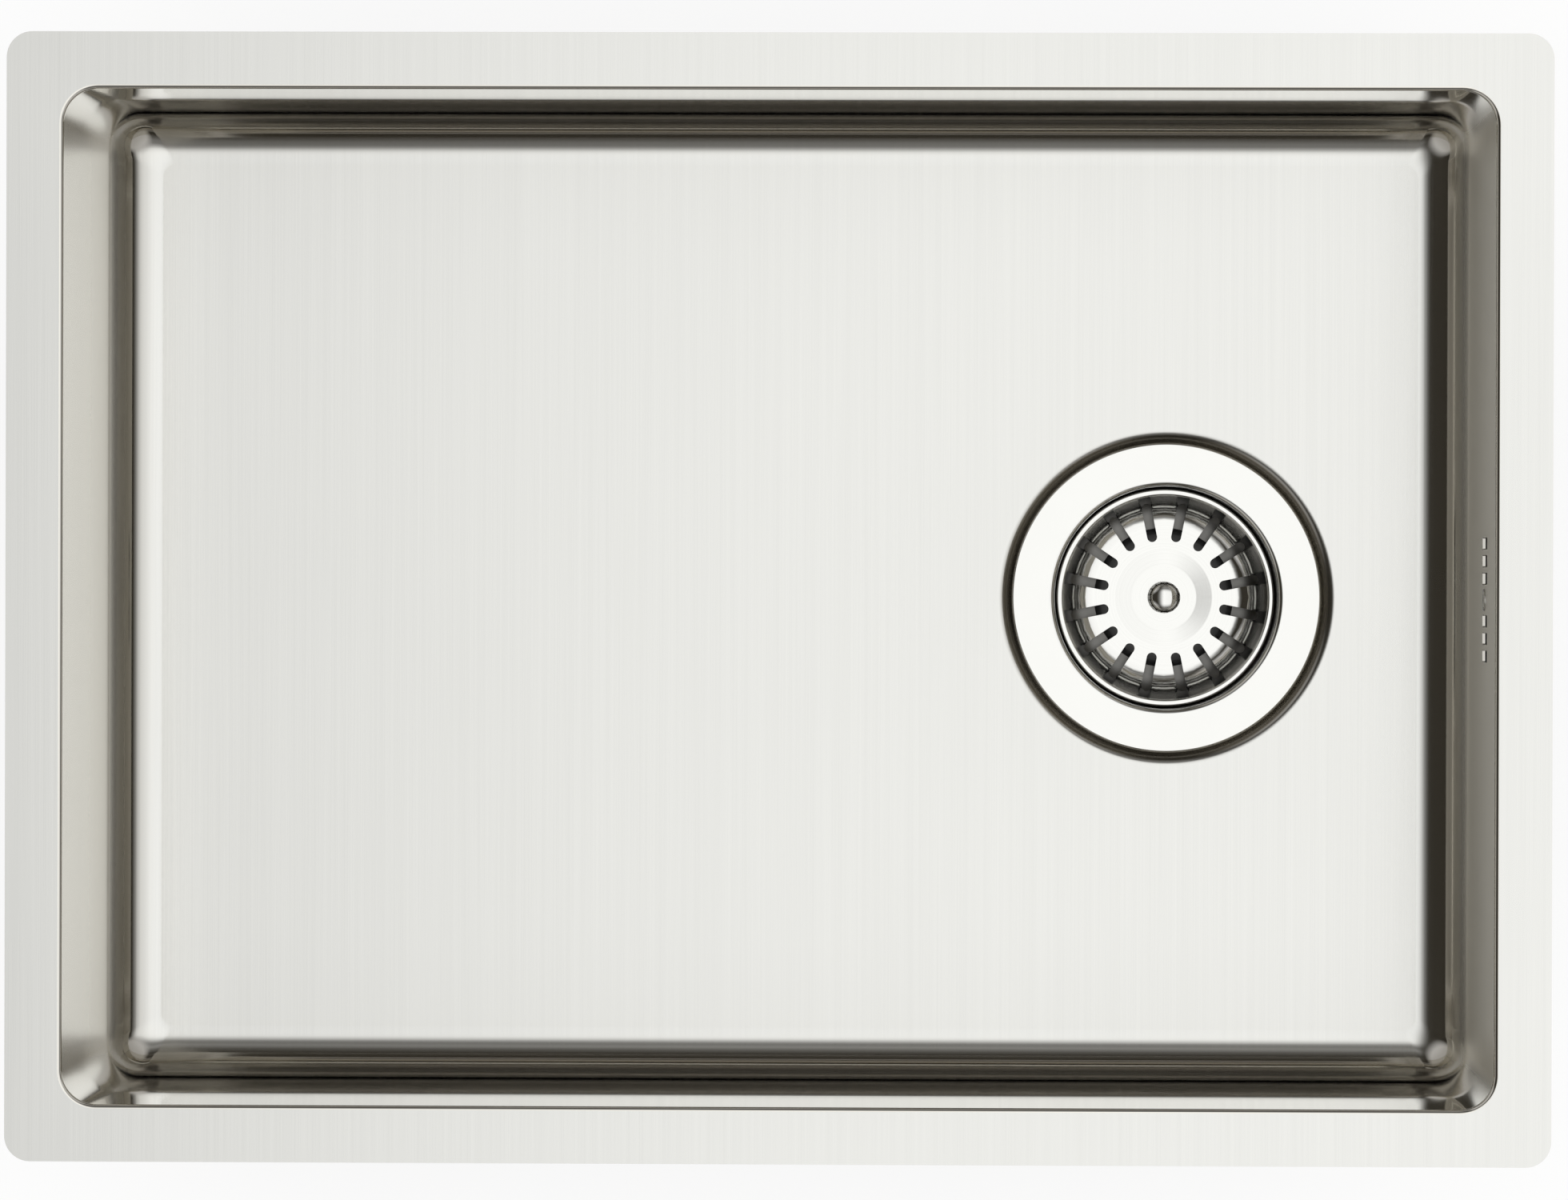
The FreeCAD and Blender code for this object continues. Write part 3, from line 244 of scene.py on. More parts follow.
def sink_bowl_surface():
    """The bowl's upper face, one grid from the flange's edge to the waste hole, and its finish's shares.

    A row is a rounded rectangle: half length times share, plus corner radius times the turn's cosine
    or sine. On the floor each row slides from that rectangle to a circle about the drain, and a
    circle's points lie where the lines from the drain to the floor's edge cross it. On the fillet, the
    cosine of the turn from flat is 1 minus the height above the floor over the fillet's radius.
    """
    along, across, turn = bowl_columns()
    rows, window_row = bowl_rows()
    flat = np.stack([
        rows[:, :1] * along + rows[:, 2:3] * np.cos(turn),
        rows[:, 1:2] * across + rows[:, 2:3] * np.sin(turn),
        rows[:, 3:4] + 0 * turn,
    ], -1)
    edge = flat[-1]
    ray = edge[:, :2] - np.array(DRAIN)
    ray = ray / np.linalg.norm(ray, axis=1)[:, None]
    step = bent([(BROW_RADIUS + BROW_BEND, -BOWL_DEPTH), (BROW_RADIUS, -BOWL_DEPTH),
                 (FOOT_RADIUS, -BOWL_DEPTH - SEAT_DEPTH), (WASTE_HOLE, -BOWL_DEPTH - SEAT_DEPTH)],
                [BROW_BEND, FOOT_BEND], RECESS_STEPS)
    round_rows = np.concatenate([
        np.array(DRAIN) + step[:, None, :1] * ray,
        np.broadcast_to(step[:, None, 1:], (len(step), len(ray), 1)),
    ], -1)
    slid = np.array(SLIDE_SHARES)[:, None, None]
    slide = edge * (1 - slid) + round_rows[0] * slid
    points = np.concatenate([flat, slide, round_rows])
    height = points[..., 2]
    tilt = np.arccos(np.clip(1 - (height + BOWL_DEPTH) / FLOOR_FILLET, 0, 1))
    wall = rise(tilt, BRIGHT_TURN, BRIGHT_SPAN)
    wall[:2] = 0
    # Ring is the recess's step, where dark shade is painted.
    ring = rise(-BOWL_DEPTH - height, 0, STEP_SPAN)
    ring[-1] = 0
    upright = rise(tilt, UPRIGHT_TURN, UPRIGHT_SPAN) * (height < MICRON - RIM_BEND)
    band = rise(height, BAND_FROM, BAND_TO - BAND_FROM)
    lower = rise(BAND_TO - height, 0, FOOT_SPAN)
    short_lean = SHORT_WALL_LEAN + (SHORT_FOOT_LEAN - SHORT_WALL_LEAN) * lower
    short_side = np.cos(turn) ** 4
    lean = upright * (short_side * short_lean + (1 - short_side) * LONG_WALL_LEAN * band)
    dull = upright * short_side * np.where(np.cos(turn) > 0, 1.0, LEFT_WALL_DULL)
    # Fillet is where the floor's fillet is painted darker as shade.
    fillet = rise(tilt, DARK_TURN, DARK_SPAN) * rise(DARK_END - tilt, 0, DARK_END_SPAN) * (1 - ring)
    shares = {"wall": np.maximum(wall, ring), "dull": dull, "ring": ring, "lean": lean, "fillet": fillet}
    return points, shares, window_row


def punched(points, flat, cells, lift, ring_rows=3):
    """Faces of a grid whose cells each have a slot or a round hole, and the points that this adds.

    A cell is its first and last row and column, then its hole in the plane of the flat coordinates: the
    middle, the half length as a vector, the half width and a radius, which is added all round. A hole's
    point lies one radius from the nearest point of that rectangle (a line or a point where sides are
    zero), towards the border's point; rings between are shares of that way, lifted to the surface.
    """
    rows, columns = points.shape[:2]
    index = np.arange(rows * columns).reshape(rows, columns)
    keep = np.ones((rows - 1, columns), bool)
    extra = []
    faces = []
    count = rows * columns
    for low, high, left, right, middle, run, side, radius in cells:
        across = np.arange(left, right) % columns
        keep[low:high, across] = False
        border = np.concatenate([
            index[low, across],
            index[low:high, right % columns],
            index[high, np.arange(right, left, -1) % columns],
            index[low + 1:high + 1, left % columns][::-1],
        ])
        rim = flat.reshape(-1, 2)[border]
        length = np.hypot(*run)
        heading = np.array(run) / length if length else np.array([1.0, 0.0])
        along_hole = np.array([heading, (-heading[1], heading[0])])
        reach = np.clip((rim - middle) @ along_hole.T, (-length, -side), (length, side))
        nearest = middle + reach @ along_hole
        away = rim - nearest
        hole = nearest + radius * away / np.linalg.norm(away, axis=1)[:, None]
        shares = np.linspace(0, 1, ring_rows + 1)[1:, None, None]
        rings = rim * (1 - shares) + hole * shares
        extra.append(lift(rings.reshape(-1, 2)))
        ring_index = np.concatenate([border, count + np.arange(ring_rows * len(border))])
        faces.append(ring_index[grid_faces(ring_rows + 1, len(border), True)])
        count += ring_rows * len(border)
    faces.insert(0, grid_faces(rows, columns, True)[keep.ravel()])
    return np.concatenate([points.reshape(-1, 3)] + extra), np.concatenate(faces)


class Shade:
    """One output of a material's node; plus, minus, times and divide add Math nodes."""

    def __init__(self, finish, socket):
        self.finish = finish
        self.socket = socket

    def sum(self, operation, first, second):
        return self.finish.add("ShaderNodeMath", {"operation": operation}, {0: first, 1: second})

    def __add__(self, other):
        return self.sum("ADD", self, other)

    def __sub__(self, other):
        return self.sum("SUBTRACT", self, other)

    def __rsub__(self, other):
        return self.sum("SUBTRACT", other, self)

    def __mul__(self, other):
        return self.sum("MULTIPLY", self, other)

    def __truediv__(self, other):
        return self.sum("DIVIDE", self, other)

    __radd__ = __add__
    __rmul__ = __mul__


class Finish:
    """The nodes of one material, or of the world, with the method that adds any node."""

    def __init__(self, owner, **constants):
        owner.use_nodes = True
        self.owner = owner
        self.tree = owner.node_tree
        self.shader = next(node for node in self.tree.nodes
                           if node.type in ("BSDF_PRINCIPLED", "BACKGROUND"))
        self.use(**constants)

    def put(self, socket, value):
        """Link a shade to a socket, or set the socket's own value."""
        if isinstance(value, Shade):
            self.tree.links.new(value.socket, socket)
        elif isinstance(value, tuple) and len(value) == 3 and socket.type == "RGBA":
            socket.default_value = (*value, 1)
        else:
            socket.default_value = value

    def add(self, kind, settings, sockets, output=0):
        """Add a node: its kind, then its settings, then the values or links of its sockets."""
        node = self.tree.nodes.new(kind)
        for name, value in settings.items():
            if name == "stops":
                ramp = node.color_ramp.elements
                while len(ramp) < len(value):
                    ramp.new(0.5)
                for stop, (place, colour) in zip(ramp, value):
                    stop.position = place
                    stop.color = (*colour, 1)
            else:
                setattr(node, name, value)
        for name, value in sockets.items():
            self.put(node.inputs[name], value)
        return Shade(self, node.outputs[output])

    def vector(self, operation, *vectors, output="Vector"):
        """Vector Math on one or two vectors."""
        return self.add("ShaderNodeVectorMath", {"operation": operation}, dict(enumerate(vectors)), output)

    def place(self):
        """The object's own coordinates, in metres."""
        return self.add("ShaderNodeTexCoord", {}, {}, "Object")

    def noise(self, scale, stretch=(1, 1, 1), detail=2.0):
        """Noise from 0 to 1 over the object's coordinates, scaled apart along each axis."""
        spread = self.vector("MULTIPLY", self.place(), stretch)
        return self.add("ShaderNodeTexNoise", {}, {"Vector": spread, "Scale": scale, "Detail": detail})

    def blend(self, share, first, second):
        """A colour that goes from first to second with the share."""
        return self.add("ShaderNodeMix", {"data_type": "RGBA"}, {"Factor": share, 6: first, 7: second}, 2)

    def bump(self, height, distance, **onto):
        """A normal raised by a height from 0 to 1 over the distance in metres."""
        return self.add("ShaderNodeBump", {},
                        {"Height": height, "Distance": distance, "Strength": 1.0, **onto})

    def use(self, **sockets):
        """Set or link sockets of the shader and hand the finished material over."""
        for socket, value in sockets.items():
            self.put(self.shader.inputs[socket.replace("_", " ")], value)
        return self.owner


BRUSHED = (0.65, 0.65, 0.635), (0.94, 0.94, 0.92)
DRAWN = (0.70, 0.68, 0.635), (0.92, 0.90, 0.85)
DULLED = (0.88, 0.845, 0.75)
FILLET_SHADE = (0.40, 0.38, 0.335)
RECESS_SHADE = (0.12, 0.105, 0.08)
MILL = (0.40, 0.40, 0.395), (0.56, 0.56, 0.55)
FINE_LINES = (2600, 9, 9)
BROAD_LINES = (420, 4, 4)
DRAWING_LINES = (900, 900, 10)
BRUSH_DEPTH = 0.000004


def bowl_steel():
    """Brushed steel: fine lines along Y on the flats, smooth walls, painted shade on the fillets and step.

    It reads the bowl's shares. Wall is 1 on walls, fillets and the recess. Dull is 1 on the right-hand
    wall and less on the left one, where the brushing lies across the draw. Ring is 1 on the recess's
    step, painted dark as shade, fillet is 1 on the middle of the floor's fillet, painted darker as shade,
    and under is 1 on the sheet's other side, with the duller mill finish. Lean is how far a wall falls
    back from upright, as a slope: it is added to the normal's height.
    """
    finish = Finish(bpy.data.materials.new("bowl_steel"))
    wall, dull, ring, lean, under, fillet = (
        finish.add("ShaderNodeAttribute", {"attribute_name": share}, {}, "Fac")
        for share in ("wall", "dull", "ring", "lean", "under", "fillet"))
    fine = finish.noise(1.0, FINE_LINES, 3.0)
    broad = finish.noise(1.0, BROAD_LINES)
    cloud = finish.noise(9.0)
    upright = finish.noise(1.0, DRAWING_LINES)
    flat = 1 - wall
    line = (fine - 0.5) * 0.26 * flat + (broad - 0.5) * 0.15 * flat + (cloud - 0.5) * 0.07
    brushed = finish.blend(line + 0.5, *BRUSHED)
    drawn = finish.blend(line + 0.5, *DRAWN)
    steel = finish.blend(dull, finish.blend(wall, brushed, drawn), DULLED)
    # Painted shade: the middle of the floor's fillets is darkened in the colour.
    shaded_fillet = finish.blend(fillet * 0.6, steel, FILLET_SHADE)
    # Painted shade: the recess's step is darkened to a dark warm grey.
    shaded_ring = finish.blend(ring * 0.9, shaded_fillet, RECESS_SHADE)
    colour = finish.blend(under, shaded_ring, finish.blend(cloud, *MILL))
    smooth = dull * 0.30 + ring * 0.2 + (upright - 0.5) * 0.03 + 0.07
    rough = 0.18 * flat + smooth * wall + (fine - 0.5) * 0.08 * flat + under * 0.22
    facing = finish.add("ShaderNodeNewGeometry", {}, {}, "Normal")
    upwards = finish.add("ShaderNodeCombineXYZ", {}, {"Z": lean})
    leaning = finish.vector("NORMALIZE", finish.vector("ADD", facing, upwards))
    normal = finish.bump(fine * flat, BRUSH_DEPTH, Normal=leaning)
    return finish.use(Base_Color=colour, Metallic=1 - dull * 0.6, Roughness=rough, Normal=normal)


points, shares, window_row = sink_bowl_surface()
slot_places = SLOT_FIRST + SLOT_PITCH * np.arange(SLOTS_A_SIDE)
slot_hole = ((0.0, SLOT_HALF_HEIGHT - SLOT_CORNER), SLOT_HALF_WIDTH - SLOT_CORNER, SLOT_CORNER)
screw_hole = ((0.0, 0.0), 0.0, SCREW_HOLE)
cells = []
for number, place in enumerate([*-slot_places[::-1], 0.0, *slot_places]):
    left = SIDE_COLUMNS + number * CELL_COLUMNS
    cells.append((window_row, window_row + WINDOW_ROWS, left, left + CELL_COLUMNS,
                  (place, SLOT_LEVEL), *(slot_hole if place else screw_hole)))
shell_points, shell_faces = punched(
    points, points[..., 1:], cells, lambda flat: np.insert(flat, 0, BOWL_HALF[0], axis=1))

# The points round the holes belong to the wall, except that those on a hole's own edge aren't dulled.
ring_points = len(shell_points) - points.size // 3
inner_ring = np.tile(np.repeat([1.0, 1.0, 0.0], ring_points // len(cells) // 3), len(cells))
around_holes = {
    "wall": np.ones(ring_points),
    "dull": inner_ring,
    "ring": np.zeros(ring_points),
    "lean": inner_ring * SHORT_WALL_LEAN,
    "fillet": np.zeros(ring_points),
}
bowl = build("sink_bowl_pressed", shell_points, shell_faces, "sink_bowl", "sink",
             bowl_steel(), [(label, np.concatenate([share.ravel(), around_holes[label]]))
                            for label, share in shares.items()])
thicken(bowl, SHEET)

# The slots' cut edges stay as bright as the inside, and their lower outer edges are torn up a little.
flat_spots = np.empty(len(bowl.data.vertices) * 3, np.float32)
bowl.data.vertices.foreach_get("co", flat_spots)
spots = flat_spots.reshape(-1, 3)
over_slots = spots[:, 2] - SLOT_LEVEL
by_slots = spots[:, 0] > BOWL_HALF[0] + SHEET * 0.9
by_slots &= np.abs(spots[:, 1]) < SLOT_FIRST + SLOT_PITCH * SLOTS_A_SIDE
by_slots &= np.abs(over_slots) < SLOT_HALF_HEIGHT + SLOT_CORNER
under_side = (np.arange(len(spots)) >= len(shell_points)) & ~by_slots
under = bowl.data.attributes.new("under", "FLOAT", "POINT")
under.data.foreach_set("value", under_side.astype(np.float32))
torn = by_slots & (np.abs(over_slots + SLOT_HALF_HEIGHT) < SLOT_CORNER * 1.2)
spots[torn, 2] += SLOT_TEAR
bowl.data.vertices.foreach_set("co", flat_spots)


# Damping pads of filled rubber, cut from sheet and glued to the steel under the floor and on both long
# walls. Their faces have the fine pebbled grain of the rolls that the sheet comes from.
PAD_RUBBER = (0.066, 0.066, 0.074), (0.125, 0.124, 0.132)
PEBBLES_A_METRE = 900.0
PEBBLE_DEPTH = 0.00012


def dress(finish, *names):
    """Give nodes that keep their own shape this finish."""
    for name in names:
        for holder in nodes[name].material_slots:
            holder.material = finish


def damping_pad():
    """Matt dark rubber: pebbles from cell noise, dusty patches from broad noise."""
    finish = Finish(bpy.data.materials.new("damping_pad"))
    pebbles = finish.add("ShaderNodeTexVoronoi", {},
                         {"Vector": finish.place(), "Scale": PEBBLES_A_METRE}, "Distance")
    dust = finish.noise(22.0, detail=4.0)
    colour = finish.blend(dust * 0.7 + pebbles * 0.4, *PAD_RUBBER)
    return finish.use(Base_Color=colour, Roughness=dust * 0.12 + 0.74,
                      Normal=finish.bump(pebbles, PEBBLE_DEPTH))


dress(damping_pad(), "floor_sound_pad", "front_sound_pad", "rear_sound_pad")


# The strainer's cup, drawn from 1.2 mm stainless sheet and polished: a wide flange with its edge turned
# down lies in the bowl's recess, and the cup's floor has a screw hole and six drain holes. Two rubber
# gaskets, one above and one below the bowl's floor, seal it.
SEAT = -0.1826
CUP_SHEET = 0.0012
CUP_RIM = 0.057
CUP_BORE = 0.0412
CUP_TOP = SEAT + 0.0022
CUP_FLOOR = CUP_TOP - 0.047
CUP_LIP = 0.0002
CUP_EDGE = 0.0006
CUP_BROW = 0.002
CUP_CORNER = 0.012
CUP_HOLE = 0.00605
DRAIN_CIRCLE = 0.01455
DRAIN_RADIUS = 0.00475
DRAIN_MARGIN = 0.0006
DRAIN_HOLES = 6
DRAIN_ROWS = 8
CUP_SIDES = 192
CUP_STEPS = 12
POLISHED = (0.83, 0.83, 0.815), (0.89, 0.89, 0.873)
POLISH_RINGS = 2600.0
POLISH_DEPTH = 0.0000006
# Down inside the cup the steel is rougher, and its colour is painted darker as shade.
CUP_INSIDE_SHADE = (0.21, 0.205, 0.195)
SATIN_AND_SHADE_FROM = CUP_TOP - 0.006
SATIN_AND_SHADE_TO = CUP_TOP - 0.016


def turned(profile, sides=96):
    """Points of a profile turned about the drain's axis: across times cosine and sine, height as it is."""
    turn = np.linspace(0, 2 * np.pi, sides, endpoint=False)
    across, up = np.asarray(profile).T[:, :, None]
    around = DRAIN[0] + across * np.cos(turn), DRAIN[1] + across * np.sin(turn)
    return np.stack([*around, up + 0 * turn], -1)


def joined(*solids):
    """Several solids' points and faces as one pair of arrays, each with its faces turned outwards.

    The signed volume of a closed solid is the sum over its triangles of the first corner times the
    cross product of the other two, by six; where it is negative the faces are turned round.
    """
    all_points = []
    all_faces = []
    count = 0
    for points, faces in solids:
        points = np.asarray(points).reshape(-1, 3)
        local = points - points.mean(axis=0)
        a, b, c, d = (local[faces[:, corner]] for corner in range(4))
        volume = np.einsum("ij,ij->", a, np.cross(b, c)) + np.einsum("ij,ij->", a, np.cross(c, d))
        all_points.append(points)
        all_faces.append((faces if volume > 0 else faces[:, ::-1]) + count)
        count += len(points)
    return np.concatenate(all_points), np.concatenate(all_faces)


def ring_solid(profile, sides=96):
    """The solid that a closed profile sweeps about the drain's axis."""
    rows = turned(np.concatenate([profile, profile[:1]]), sides)
    return rows, grid_faces(len(rows), sides, True)


def weld(piece, sharp_angle=0.6):
    """Join points that share a place, so that seams and poles are closed, and shade by angle."""
    net = bmesh.new()
    net.from_mesh(piece.data)
    bmesh.ops.remove_doubles(net, verts=net.verts, dist=1e-7)
    bmesh.ops.dissolve_degenerate(net, edges=net.edges, dist=1e-8)
    net.to_mesh(piece.data)
    net.free()
    piece.data.shade_smooth()
    piece.data.set_sharp_from_angle(angle=sharp_angle)


def smoothed(node, body, finish, sharp_angle=0.6):
    """The node's own shape with its loose triangles joined and its round faces shaded smooth."""
    mesh = nodes[node].data.copy()
    mesh.materials.clear()
    mesh.materials.append(finish)
    piece = bpy.data.objects.new(node + "_finished", mesh)
    bpy.context.scene.collection.objects.link(piece)
    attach(piece, body)
    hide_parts(node)
    net = bmesh.new()
    net.from_mesh(mesh)
    bmesh.ops.remove_doubles(net, verts=net.verts, dist=2e-6)
    net.to_mesh(mesh)
    net.free()
    mesh.shade_smooth()
    mesh.set_sharp_from_angle(angle=sharp_angle)


def height_of(finish):
    """A point's height, in metres."""
    return finish.vector("DOT_PRODUCT", finish.place(), (0.0, 0.0, 1.0), output="Value")


def from_drain(finish):
    """How far a point is from the drain's axis, plus its height, so that rings show on flats and walls."""
    moved = finish.vector("SUBTRACT", finish.place(), (*DRAIN, 0.0))
    level = finish.vector("MULTIPLY", moved, (1.0, 1.0, 0.0))
    return finish.vector("LENGTH", level, output="Value") + height_of(finish)


def lathe_rings(finish, away, rings_a_metre):
    """Fine uneven rings about the axis, from 0 to 1."""
    return finish.add("ShaderNodeTexNoise", {"noise_dimensions": "1D"},
                      {"W": away * rings_a_metre, "Scale": 1.0, "Detail": 3.0})


def turned_metal(name, dark, light, rough, rings_a_metre, ring_depth):
    """Metal polished or cut on a lathe: fine rings about the axis and faint smears."""
    finish = Finish(bpy.data.materials.new(name), Metallic=1.0)
    rings = lathe_rings(finish, from_drain(finish), rings_a_metre)
    smear = finish.noise(60.0, detail=3.0)
    colour = finish.blend(rings * 0.5 + smear * 0.5, dark, light)
    return finish.use(Base_Color=colour,
                      Roughness=(smear - 0.5) * rough * 0.6 + rings * rough * 0.3 + rough,
                      Normal=finish.bump(rings, ring_depth))


def rubber(name, dark, light, rough):
    """Moulded rubber: even and dull, with a talc bloom in patches and a very fine grain."""
    finish = Finish(bpy.data.materials.new(name))
    bloom = finish.noise(140.0, detail=4.0)
    grain = finish.noise(2600.0, detail=1.0)
    return finish.use(Base_Color=finish.blend(bloom, dark, light), Roughness=bloom * 0.15 + rough,
                      Normal=finish.bump(grain, 0.00002))


def cup_steel():
    """The cup's finish: polished on the flange, rougher and painted darker as shade down inside, by the
    height.
    """
    finish = Finish(bpy.data.materials.new("cup_steel"), Metallic=1.0)
    inside = finish.add("ShaderNodeMapRange", {},
                        {"Value": height_of(finish), "From Min": SATIN_AND_SHADE_FROM, "From Max": SATIN_AND_SHADE_TO})
    rings = lathe_rings(finish, from_drain(finish), POLISH_RINGS)
    smear = finish.noise(60.0, detail=3.0)
    bright = finish.blend(rings * 0.5 + smear * 0.5, *POLISHED)
    # Painted shade: the cup's colour darkens towards its floor.
    return finish.use(Base_Color=finish.blend(inside * 0.9, bright, CUP_INSIDE_SHADE),
                      Roughness=smear * 0.05 + inside * 0.28 + 0.06,
                      Normal=finish.bump(rings, POLISH_DEPTH))


polished_steel = turned_metal("polished_steel", *POLISHED, 0.07, POLISH_RINGS, POLISH_DEPTH)
gasket_rubber = rubber("gasket_rubber", (0.038, 0.038, 0.038), (0.066, 0.065, 0.063), 0.62)

cup_profile = bent([(CUP_RIM, SEAT + CUP_LIP), (CUP_RIM, CUP_TOP), (CUP_BORE, CUP_TOP),
                    (CUP_BORE, CUP_FLOOR), (DRAIN_CIRCLE + DRAIN_RADIUS + DRAIN_MARGIN, CUP_FLOOR)],
                   [CUP_EDGE, CUP_BROW, CUP_CORNER], CUP_STEPS)

# The floor goes on inwards in even rows under the drain holes, and then to the screw's hole.
drain_inside = DRAIN_CIRCLE - DRAIN_RADIUS - DRAIN_MARGIN
inner_part = np.linspace(cup_profile[-1, 0], drain_inside, DRAIN_ROWS + 1)[1:]
inner_part = np.append(inner_part, CUP_HOLE)
cup_profile = np.concatenate([cup_profile, np.stack([inner_part, np.full(len(inner_part), CUP_FLOOR)], 1)])
cup_points = turned(cup_profile, CUP_SIDES)
first_row = len(cup_profile) - 2 - DRAIN_ROWS
cell_sides = CUP_SIDES // DRAIN_HOLES
cells = []
for number in range(DRAIN_HOLES):
    angle = 2 * np.pi * number / DRAIN_HOLES
    middle = (DRAIN[0] + DRAIN_CIRCLE * np.cos(angle), DRAIN[1] + DRAIN_CIRCLE * np.sin(angle))
    left = number * cell_sides - cell_sides // 2
    cells.append((first_row, first_row + DRAIN_ROWS, left, left + cell_sides,
                  middle, (0.0, 0.0), 0.0, DRAIN_RADIUS))
cup_points, cup_faces = punched(
    cup_points, cup_points[..., :2], cells, lambda flat: np.insert(flat, 2, CUP_FLOOR, axis=1))
cup = build("strainer_cup_drawn", cup_points, cup_faces, "strainer_cup", "sink",
            cup_steel())
thicken(cup, CUP_SHEET)
smoothed("upper_gasket", "sink", gasket_rubber)
smoothed("lower_gasket", "sink", gasket_rubber)


# The waste housing, a round chamber of light grey polypropylene with a side inlet for the overflow. The
# outlet, a second moulding welded below, has a pipe thread outside and four ribs inside that carry the
# hub. A hollow steel screw, turned into the hub's brass insert, clamps cup and housing on the floor.
OUTLET_TOP = -0.2422
OUTLET_END = -0.2662
OUTLET_RADIUS = 0.0239
OUTLET_BORE = 0.0195
OUTLET_TAPER = 0.0008
OUTLET_EDGE = 0.0015
OUTLET_STEPS = 110
THREAD_PITCH = 0.00231
THREAD_DEPTH = 0.0011
THREAD_STOP = 0.003
THREAD_FADE = 0.002
HUB_TOP = -0.2296
HUB_BOTTOM = -0.2466
HUB_RADIUS = 0.011
HUB_EDGE = 0.0006
INSERT_SEAT = 0.0081
INSERT_DEPTH = 0.010
RIB_HALF = 0.0015
RIB_HEIGHT = 0.010
RIB_IN_HUB = 0.0015
RIB_SHORT_OF_BORE = 0.0001
RIB_FOOT_HEIGHT = 0.0044
RIB_FOOT_LAP = 0.002
RIB_FOOT_COVER = 0.0022


def moulded(name, dark, light, rough, peel=0.00002):
    """Moulded plastic: faint flow marks in colour and gloss, and a slight orange peel."""
    finish = Finish(bpy.data.materials.new(name))
    flow = finish.noise(30.0, (1, 1, 3), detail=3.0)
    skin = finish.noise(700.0)
    return finish.use(Base_Color=finish.blend(flow, dark, light), Roughness=(flow - 0.5) * 0.12 + rough,
                      Normal=finish.bump(skin, peel))


def bar(inner, outer, low, high, half, angle):
    """A rib: a six-sided bar from one radius to another at an angle about the drain's axis."""
    corners = np.array([(r, s * half, z) for z in (low, high) for r, s in
                        ((inner, -1), (outer, -1), (outer, 1), (inner, 1))])
    cos, sin = np.cos(angle), np.sin(angle)
    spots = np.stack([DRAIN[0] + corners[:, 0] * cos - corners[:, 1] * sin,
                      DRAIN[1] + corners[:, 0] * sin + corners[:, 1] * cos, corners[:, 2]], 1)
    faces = np.array([(0, 3, 2, 1), (4, 5, 6, 7), (0, 1, 5, 4), (1, 2, 6, 5), (2, 3, 7, 6), (3, 0, 4, 7)])
    return spots, faces


housing_plastic = moulded("housing_plastic", (0.50, 0.51, 0.52), (0.60, 0.61, 0.62), 0.42)
smoothed("waste_housing", "sink", housing_plastic)

# The outlet's outer face, shrunk towards the axis along a helix: the wave's turn is the height over the
# pitch, less the turn about the axis, and it fades out at both ends of the thread.
heights = OUTLET_END + (OUTLET_TOP - OUTLET_END) * np.linspace(0, 1, OUTLET_STEPS)
edge_out = rise(heights, OUTLET_END, OUTLET_EDGE)
outside = np.stack([OUTLET_RADIUS - OUTLET_TAPER * (1 - edge_out), heights], 1)
tube_rows, tube_faces = ring_solid(
    np.concatenate([outside, [(OUTLET_BORE, OUTLET_TOP), (OUTLET_BORE, OUTLET_END)]]))
turns = np.linspace(0, 1, tube_rows.shape[1], endpoint=False)
wave = 0.5 - 0.5 * np.cos(2 * np.pi * (heights[:, None] / THREAD_PITCH - turns))
fade = rise(heights, OUTLET_END, THREAD_FADE)
fade = fade * rise(OUTLET_TOP - THREAD_STOP - heights, 0, THREAD_FADE)
shrink = 1 - THREAD_DEPTH * wave ** 1.5 * fade[:, None] / OUTLET_RADIUS
shrink = np.stack([shrink, shrink, np.ones_like(shrink)], -1)
centre = np.array([*DRAIN, 0.0])
tube_rows[:OUTLET_STEPS] = centre + (tube_rows[:OUTLET_STEPS] - centre) * shrink
hub = ring_solid(np.array([
    (HUB_RADIUS, HUB_BOTTOM), (HUB_RADIUS, HUB_TOP - HUB_EDGE), (HUB_RADIUS - HUB_EDGE, HUB_TOP),
    (INSERT_SEAT, HUB_TOP), (INSERT_SEAT, HUB_TOP - INSERT_DEPTH),
    (CUP_HOLE, HUB_TOP - INSERT_DEPTH), (CUP_HOLE, HUB_BOTTOM),
]))
quarters = np.pi / 2 * np.arange(4)
ribs = [bar(HUB_RADIUS - RIB_IN_HUB, OUTLET_BORE - RIB_SHORT_OF_BORE, HUB_BOTTOM, HUB_BOTTOM + RIB_HEIGHT,
            RIB_HALF, angle) for angle in quarters]
ribs += [bar(OUTLET_BORE - RIB_FOOT_LAP, OUTLET_RADIUS - RIB_FOOT_COVER, HUB_BOTTOM,
             HUB_BOTTOM + RIB_FOOT_HEIGHT, RIB_HALF, angle) for angle in quarters]
outlet_points, outlet_faces = joined((tube_rows, tube_faces), hub, *ribs)
weld(build("waste_outlet_threaded", outlet_points, outlet_faces, "waste_outlet", "sink",
           housing_plastic))

screw_steel = turned_metal("screw_steel", (0.55, 0.55, 0.535), (0.68, 0.68, 0.66), 0.22, 9000.0, 0.000002)
insert_brass = turned_metal("insert_brass", (0.70, 0.53, 0.25), (0.83, 0.65, 0.34), 0.20, 8000.0, 0.000002)
smoothed("clamp_screw", "sink", screw_steel)
smoothed("clamp_insert", "sink", insert_brass)


